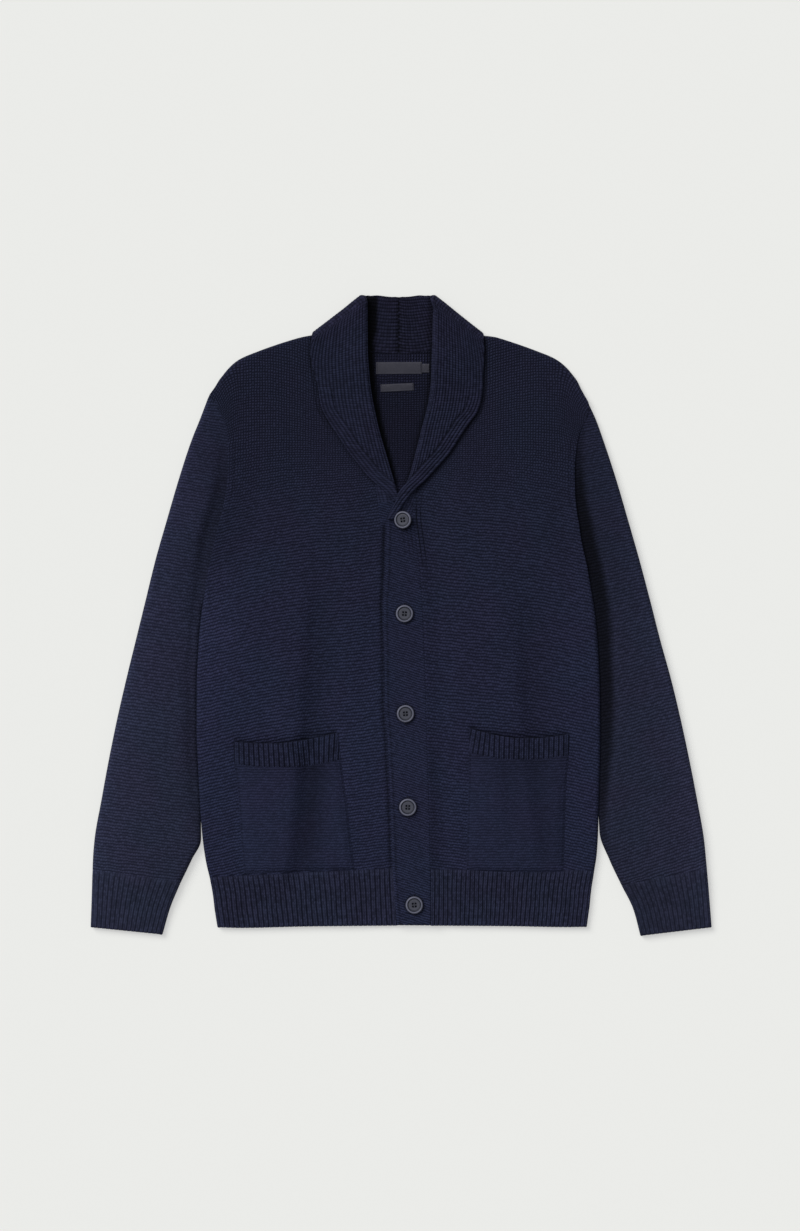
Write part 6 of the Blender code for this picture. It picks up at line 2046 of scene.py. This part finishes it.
def rib_material(name, tone=1.0, contrast=1.0, hue=(1.0, 1.0, 0.97, 1.0)):
    """2x2 ribbing: u counts the repeats, v the courses."""
    g = Graph(name)
    u, v = g.uv("stitch")
    u, v = unsteady(g, u, v, 0.06, 0.5)
    s = g.sub(u, g.math("FLOOR", u))
    edge = g.math("MINIMUM", s, g.sub(1.0, s))
    groove = g.bell(edge, 0.150)
    dip = g.mul(g.bell(g.sub(s, 0.5), 0.095), 0.40)
    columns = g.sub(g.sub(1.0, g.mul(groove, 0.85)), dip)
    leg, rnd = plain_columns(g, g.mul(u, 2.0), v)
    height = g.mul(columns, g.add(0.39, g.mul(leg, 0.57)))
    height = g.mul(height, g.add(0.74, g.mul(rnd, 0.46)))
    return finish_knit(g, height, rnd, 0.0007, 0.8, -0.02, 0.98, tone, spread=0.38, contrast=contrast, hue_low=hue)


def collar_material(name, tone=1.0):
    """1x1 ribbing on the collar, and the close slanting knit of the band: the second
    map says which."""
    g = Graph(name)
    u, v = g.uv("stitch")
    which, along = g.uv("place")
    ru, rv = unsteady(g, u, v, 0.10, 0.6)
    s = g.sub(ru, g.math("FLOOR", ru))
    edge = g.math("MINIMUM", s, g.sub(1.0, s))
    groove = g.bell(edge, 0.19)
    fv = g.sub(g.sub(rv, g.math("FLOOR", rv)), 0.5)
    q = g.math("DIVIDE", g.add(fv, g.mul(g.math("ABSOLUTE", g.sub(s, 0.5)), 0.6)), 0.52)
    bead = g.math("MAXIMUM", g.sub(1.0, g.mul(q, q)), 0.0)
    chance = g.chance(g.math("FLOOR", ru), g.math("FLOOR", rv))
    rib = g.mul(g.sub(1.0, g.mul(groove, 0.56)), g.add(0.34, g.mul(bead, 0.64)))
    rib = g.mul(rib, g.add(0.66, g.mul(chance, 0.62)))
    band, rnd, row, col = purl(g, u, v, arc=0.30, tall=0.46, long=0.46)
    is_rib = g.step(which, 0.4, 0.6)
    height = g.mix(is_rib, band, rib)
    chance = g.mix(is_rib, rnd, chance)
    # inside the neck the colour is warmer, and on the band cooler
    cast = g.mix_colour(g.step(along, 60.0, 110.0), (1.04, 0.93, 0.97, 1.0), (1.0, 0.975, 1.0, 1.0))
    cast = g.mix_colour(is_rib, (0.97, 1.01, 1.06, 1.0), cast)
    return finish_knit(g, height, chance, 0.0008, 0.9, 0.04, 0.95, tone, cast=cast)


def button_material():
    g = Graph("horn_slate")
    vector, x, y, z = g.position()
    cloud = g.noise(vector, 140.0, 3.0, 0.6)
    grain = g.noise(vector, 900.0, 2.0, 0.5)
    colour = g.mix_colour(g.step(cloud, 0.30, 0.72), (0.088, 0.092, 0.130, 1.0), (0.116, 0.121, 0.168, 1.0))
    colour = g.mix_colour(g.mul(grain, 0.25), colour, (0.050, 0.052, 0.074, 1.0))
    colour = g.mix_colour(g.attribute("shade"), (0.009, 0.011, 0.020, 1.0), colour)
    g.set(g.shader.inputs["Base Color"], colour)
    g.set(g.shader.inputs["Roughness"], g.map(cloud, 0.25, 0.75, 0.38, 0.54))
    g.shader.inputs["Specular IOR Level"].default_value = 0.26
    bump = g.tree.nodes.new("ShaderNodeBump")
    bump.inputs["Strength"].default_value = 0.35
    bump.inputs["Distance"].default_value = 0.00012
    g.tree.links.new(grain, bump.inputs["Height"])
    g.tree.links.new(bump.outputs["Normal"], g.shader.inputs["Normal"])
    return g.material


def thread_material():
    g = Graph("thread_navy")
    vector, x, y, z = g.position()
    twist = g.noise(vector, 1600.0, 2.0, 0.5)
    colour = g.mix_colour(twist, (0.003, 0.0035, 0.009, 1.0), (0.014, 0.016, 0.034, 1.0))
    g.set(g.shader.inputs["Base Color"], colour)
    g.set(g.shader.inputs["Roughness"], g.map(twist, 0.2, 0.8, 0.72, 0.92))
    g.shader.inputs["Specular IOR Level"].default_value = 0.12
    bump = g.tree.nodes.new("ShaderNodeBump")
    bump.inputs["Distance"].default_value = 0.0002
    g.tree.links.new(twist, bump.inputs["Height"])
    g.tree.links.new(bump.outputs["Normal"], g.shader.inputs["Normal"])
    return g.material


def label_material():
    """Satin-woven tape: fine warp and weft, with a closer-woven line at each selvedge."""
    g = Graph("label_woven")
    u, v = g.uv("stitch")
    across, along = g.uv("place")
    warp = g.math("SINE", g.mul(u, 2 * math.pi / 0.42))
    weft = g.math("SINE", g.mul(v, 2 * math.pi / 0.36))
    cross = g.mul(warp, weft)
    weave = g.add(0.5, g.mul(cross, 0.5))
    vector, x, y, z = g.position()
    slub = g.noise(vector, 420.0, 2.0, 0.6)
    colour = g.mix_colour(g.add(g.mul(weave, 0.5), g.mul(slub, 0.5)), (0.0150, 0.0150, 0.024, 1.0), (0.031, 0.031, 0.046, 1.0))
    edge = g.bell(g.sub(across, 0.9), 0.28)
    colour = g.mix_colour(g.mul(edge, 0.5), colour, (0.060, 0.060, 0.083, 1.0))
    g.set(g.shader.inputs["Base Color"], colour)
    g.set(g.shader.inputs["Roughness"], g.map(weave, 0.0, 1.0, 0.55, 0.8))
    g.shader.inputs["Specular IOR Level"].default_value = 0.3
    bump = g.tree.nodes.new("ShaderNodeBump")
    bump.inputs["Strength"].default_value = 0.6
    bump.inputs["Distance"].default_value = 0.00012
    g.tree.links.new(g.add(weave, g.mul(slub, 0.6)), bump.inputs["Height"])
    g.tree.links.new(bump.outputs["Normal"], g.shader.inputs["Normal"])
    return g.material


MATERIALS = {
    "knit": knit_material("knit_sleeve", 1.04, "sleeve"),
    "front": knit_material("knit_front", 1.0, "front"),
    # the back shows only inside the neck: its lower tone is painted shade
    "back": knit_material("knit_back", 0.71, "back"),
    "pocket": knit_material("knit_pocket", 0.965, "pocket"),
    "rib": rib_material("knit_rib", 0.93, 1.04),
    "cuff": rib_material("knit_rib_cuff", 0.97, 0.62, (1.02, 1.02, 0.93, 1.0)),
    "border": rib_material("knit_rib_pocket", 0.79, 1.36, (0.97, 1.01, 1.05, 1.0)),
    "collar": collar_material("knit_collar", 0.96),
    "button": button_material(),
    "thread": thread_material(),
    "label": label_material(),
}


# ================================================================ small parts
def plain_object(name, points, faces, material, uv=None, place=None, smooth_angle=None, shade=None):
    mesh = bpy.data.meshes.new(name)
    points = (np.asarray(points, float) - np.array([CENTRE[0], CENTRE[1], 0.0])) * 0.001
    mesh.from_pydata([tuple(p) for p in points], [], [tuple(int(i) for i in f) for f in faces])
    work = bmesh.new()
    work.from_mesh(mesh)
    bmesh.ops.recalc_face_normals(work, faces=work.faces[:])
    if work.calc_volume(signed=True) < 0:
        bmesh.ops.reverse_faces(work, faces=work.faces[:])
    work.to_mesh(mesh)
    work.free()
    for title, data in (("stitch", uv), ("place", place)):
        if data is not None:
            layer = mesh.uv_layers.new(name=title)
            index = np.zeros(len(mesh.loops), np.int32)
            mesh.loops.foreach_get("vertex_index", index)
            layer.data.foreach_set("uv", np.asarray(data, np.float32)[index].ravel())
    if shade is not None:
        attribute = mesh.attributes.new("shade", "FLOAT", "POINT")
        attribute.data.foreach_set("value", np.asarray(shade, np.float32))
    mesh.shade_smooth()
    if smooth_angle:
        mesh.set_sharp_from_angle(angle=math.radians(smooth_angle))
    mesh.materials.append(material)
    obj = bpy.data.objects.new(name, mesh)
    scene.collection.objects.link(obj)
    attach(obj, "root")
    TRIANGLES[name] = sum(len(p.vertices) - 2 for p in mesh.polygons)
    return obj


def tube_mesh(path, radius, sides=8, closed=False, squash=1.0):
    """Points and faces of a round cord along a path."""
    path = np.asarray(path, float)
    n = len(path)
    if closed:
        tangent = np.roll(path, -1, axis=0) - np.roll(path, 1, axis=0)
    else:
        tangent = np.gradient(path, axis=0)
    tangent /= np.linalg.norm(tangent, axis=1)[:, None]
    up = np.array([0.0, 0.0, 1.0])
    side = np.cross(tangent, up)
    lone = np.linalg.norm(side, axis=1) < 1e-6
    side[lone] = [1.0, 0.0, 0.0]
    side /= np.linalg.norm(side, axis=1)[:, None]
    top = np.cross(side, tangent)
    angle = np.linspace(0, 2 * math.pi, sides, endpoint=False)
    radius = np.broadcast_to(np.asarray(radius, float), (n,))
    ring = side[:, None, :] * np.cos(angle)[None, :, None] + top[:, None, :] * (np.sin(angle) * squash)[None, :, None]
    points = path[:, None, :] + ring * radius[:, None, None]
    faces = []
    spans = n if closed else n - 1
    for r in range(spans):
        for c in range(sides):
            a, b = r * sides + c, r * sides + (c + 1) % sides
            d, e = ((r + 1) % n) * sides + c, ((r + 1) % n) * sides + (c + 1) % sides
            faces.append((a, b, e, d))
    points = points.reshape(-1, 3)
    if not closed:
        faces.append(tuple(range(sides))[::-1])
        faces.append(tuple((n - 1) * sides + k for k in range(sides)))
    return points, faces


def join_meshes(parts):
    points, faces, base = [], [], 0
    for p, f in parts:
        points.append(p)
        faces += [tuple(i + base for i in face) for face in f]
        base += len(p)
    return np.concatenate(points), faces


# radius, height above the button's lowest point
BUTTON_PROFILE = [
    (0.0, 0.0), (8.2, 0.0), (9.3, 0.35), (10.15, 1.05), (10.55, 1.95), (10.6, 2.5), (10.42, 3.1), (10.0, 3.62),
    (9.5, 3.95), (9.05, 4.02), (8.6, 3.86), (8.3, 3.5), (8.05, 3.02), (7.75, 2.62), (7.35, 2.46), (6.95, 2.56),
    (6.3, 2.66), (4.9, 2.58), (4.2, 2.50), (0.0, 2.46),
]
HOLE_RADIUS = 1.2
HOLE_STEP = 1.75


def button_mesh():
    sides = 72
    work = bmesh.new()
    rings = []
    for r, z in BUTTON_PROFILE[1:-1]:
        rings.append([work.verts.new((r * math.cos(2 * math.pi * k / sides), r * math.sin(2 * math.pi * k / sides), z)) for k in range(sides)])
    for low, high in zip(rings[:-1], rings[1:]):
        for k in range(sides):
            n = (k + 1) % sides
            work.faces.new((low[k], low[n], high[n], high[k]))
    work.faces.new(rings[0][::-1])
    work.faces.new(rings[-1])
    blank_mesh = bpy.data.meshes.new("button_blank")
    work.to_mesh(blank_mesh)
    work.free()
    blank = bpy.data.objects.new("button_blank", blank_mesh)
    scene.collection.objects.link(blank)
    drill = bmesh.new()
    for dx, dy in ((-1, -1), (-1, 1), (1, -1), (1, 1)):
        made = bmesh.ops.create_cone(drill, cap_ends=True, segments=20, radius1=HOLE_RADIUS, radius2=HOLE_RADIUS, depth=12.0)
        bmesh.ops.translate(drill, verts=made["verts"], vec=(dx * HOLE_STEP, dy * HOLE_STEP, 0.0))
    drill_mesh = bpy.data.meshes.new("button_drill")
    drill.to_mesh(drill_mesh)
    drill.free()
    cutter = bpy.data.objects.new("button_drill", drill_mesh)
    scene.collection.objects.link(cutter)
    cut = blank.modifiers.new("holes", "BOOLEAN")
    cut.operation, cut.solver, cut.object = "DIFFERENCE", "EXACT", cutter
    bpy.context.view_layer.update()
    done = blank.evaluated_get(bpy.context.evaluated_depsgraph_get()).to_mesh()
    points = np.array([v.co[:] for v in done.vertices])
    faces = [list(f.vertices) for f in done.polygons]
    blank.evaluated_get(bpy.context.evaluated_depsgraph_get()).to_mesh_clear()
    bpy.data.objects.remove(blank)
    bpy.data.objects.remove(cutter)
    return points, faces


def build_buttons():
    points, faces = button_mesh()
    reach = np.hypot(points[:, 0], points[:, 1])
    # painted shade: the groove inside the rim, the walls of the holes and the middle between the holes are dark; the
    # disc is darker than the rim
    inner = 0.27 - 0.26 * smooth((reach - 6.3) / 0.7) + 1.02 * smooth((reach - 8.1) / 0.6)
    inner = np.where(reach < 4.1, np.where(points[:, 2] < 2.2, 0.0, 0.06), inner)
    for n, (name, x, y, lean) in enumerate(BUTTONS):
        lo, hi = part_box(name)
        tilt = math.radians(lean)
        spin = math.radians((8, -4, 3, -2, 4)[n])
        turned = points.copy()
        turned[:, 0] = points[:, 0] * math.cos(spin) - points[:, 1] * math.sin(spin)
        turned[:, 1] = points[:, 0] * math.sin(spin) + points[:, 1] * math.cos(spin)
        flat_turned = turned.copy()
        turned[:, 0] = flat_turned[:, 0] * math.cos(tilt) - flat_turned[:, 2] * math.sin(tilt)
        turned[:, 2] = flat_turned[:, 0] * math.sin(tilt) + flat_turned[:, 2] * math.cos(tilt)
        ground = lo.z * 1000.0
        rise = ground - turned[:, 2].min()
        turned = turned + [x, y, rise]
        obj = plain_object(f"horn_{name}", turned, faces, MATERIALS["button"], smooth_angle=40, shade=inner)
        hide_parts(name)
        # the strands that hold it, drawn down through the holes
        parts = []
        for dx, dy in ((-1, -1), (-1, 1), (1, -1), (1, 1)):
            path = []
            for zz, pull in ((0.35, 1.0), (0.2, 0.98), (0.0, 0.9), (-0.9, 0.7)):
                px, py = dx * HOLE_STEP * pull, dy * HOLE_STEP * pull
                qx, qy = px * math.cos(spin) - py * math.sin(spin), px * math.sin(spin) + py * math.cos(spin)
                path.append([qx * math.cos(tilt) - zz * math.sin(tilt) + x, qy + y, qx * math.sin(tilt) + zz * math.cos(tilt) + rise])
            parts.append(tube_mesh(path, 0.55, 8))
        strands, strand_faces = join_meshes(parts)
        plain_object(f"thread_{name}", strands, strand_faces, MATERIALS["thread"])
        # the worked buttonhole that it comes through, whose two ends show
        build_buttonhole(name, x, y)


def build_buttonhole(name, x, y):
    long, wide = 13.1, 1.25
    angle = np.linspace(0, 2 * math.pi, 96, endpoint=False)
    px = wide * np.cos(angle)
    py = np.where(np.sin(angle) > 0, long - wide, -(long - wide)) + wide * np.sin(angle)
    # spread the two straight sides
    t = np.linspace(0, 1, 96, endpoint=False)
    loop = []
    straight = 2 * (long - wide)
    around = math.pi * wide
    total = 2 * straight + 2 * around
    for k in t:
        d = k * total
        if d < straight:
            loop.append((wide, -(long - wide) + d))
        elif d < straight + around:
            a = (d - straight) / wide
            loop.append((wide * math.cos(a), long - wide + wide * math.sin(a)))
        elif d < 2 * straight + around:
            loop.append((-wide, (long - wide) - (d - straight - around)))
        else:
            a = math.pi + (d - 2 * straight - around) / wide
            loop.append((wide * math.cos(a), -(long - wide) + wide * math.sin(a)))
    loop = np.array(loop)
    xs, ys = x + loop[:, 0] + 0.5, y + loop[:, 1]
    z = front_z(xs, ys, "left") + WALL + 0.25
    beads = 0.62 + 0.16 * np.cos(np.arange(96) * math.pi)
    p, f = tube_mesh(np.column_stack([xs, ys, z]), beads, 8, closed=True)
    plain_object(f"buttonhole_{name}", p, f, MATERIALS["thread"])


def build_label(name, x, y, width, height, tilt):
    turn = math.radians(tilt)
    nu, nv = 60, 18
    u, v = np.meshgrid(np.linspace(-0.5, 0.5, nu + 1), np.linspace(-0.5, 0.5, nv + 1))
    dx, dy = u * width, v * height
    # woven tape is never quite flat: its long edges lift a little between the stitches
    px = x + dx * math.cos(turn) - dy * math.sin(turn)
    py = y + dx * math.sin(turn) + dy * math.cos(turn)
    base = lift(px, py) + WALL + 0.35
    ripple = 0.22 * np.cos(u * 9.0) * (np.abs(v) * 2) ** 2 + 0.30 * (1 - (2 * v) ** 2) * (1 - (2 * u) ** 8)
    out = np.stack([px, py, base + LABEL_WALL + ripple], axis=-1)
    inn = np.stack([px, py, base + ripple * 0.9], axis=-1)
    cloth = Cloth(f"woven_{name}", lip=0.6)
    uv = np.stack([dx, dy], axis=-1)
    edge = height / 2 - np.abs(dy)
    place = np.stack([edge, dx], axis=-1)
    cloth.patch(out, inn, uv, place, coarse=(1, 1))
    obj = cloth.build(MATERIALS["label"])
    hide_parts(name)
    # stitches down its two ends
    parts = []
    if name != "size_tab":
        for end in (-1, 1):
            for k in np.linspace(-0.36, 0.36, max(3, int(height / 2.4))):
                mx, my = end * (width / 2 - 1.3), k * height
                path = []
                for s in np.linspace(-1, 1, 7):
                    qx, qy = mx, my + s * 0.85
                    wx = x + qx * math.cos(turn) - qy * math.sin(turn)
                    wy = y + qx * math.sin(turn) + qy * math.cos(turn)
                    path.append([wx, wy, float(lift(wx, wy)) + WALL + 0.35 + LABEL_WALL + 0.30 * (1 - s * s) - 0.05])
                parts.append(tube_mesh(path, 0.2, 6))
        p, f = join_meshes(parts)
        plain_object(f"stitches_{name}", p, f, MATERIALS["thread"])
    return obj


# ================================================================ build
build_back()
build_hem_back()
for side in SIGN:
    build_front(side)
    build_hem_front(side)
    build_sleeve(side)
    build_cuff(side)
    build_collar(side)
    build_pocket(side)
    build_pocket_border(side)
build_buttons()
for row in LABELS:
    build_label(*row)

print("triangles", sum(TRIANGLES.values()), max(TRIANGLES.items(), key=lambda kv: kv[1]))
bpy.context.view_layer.update()
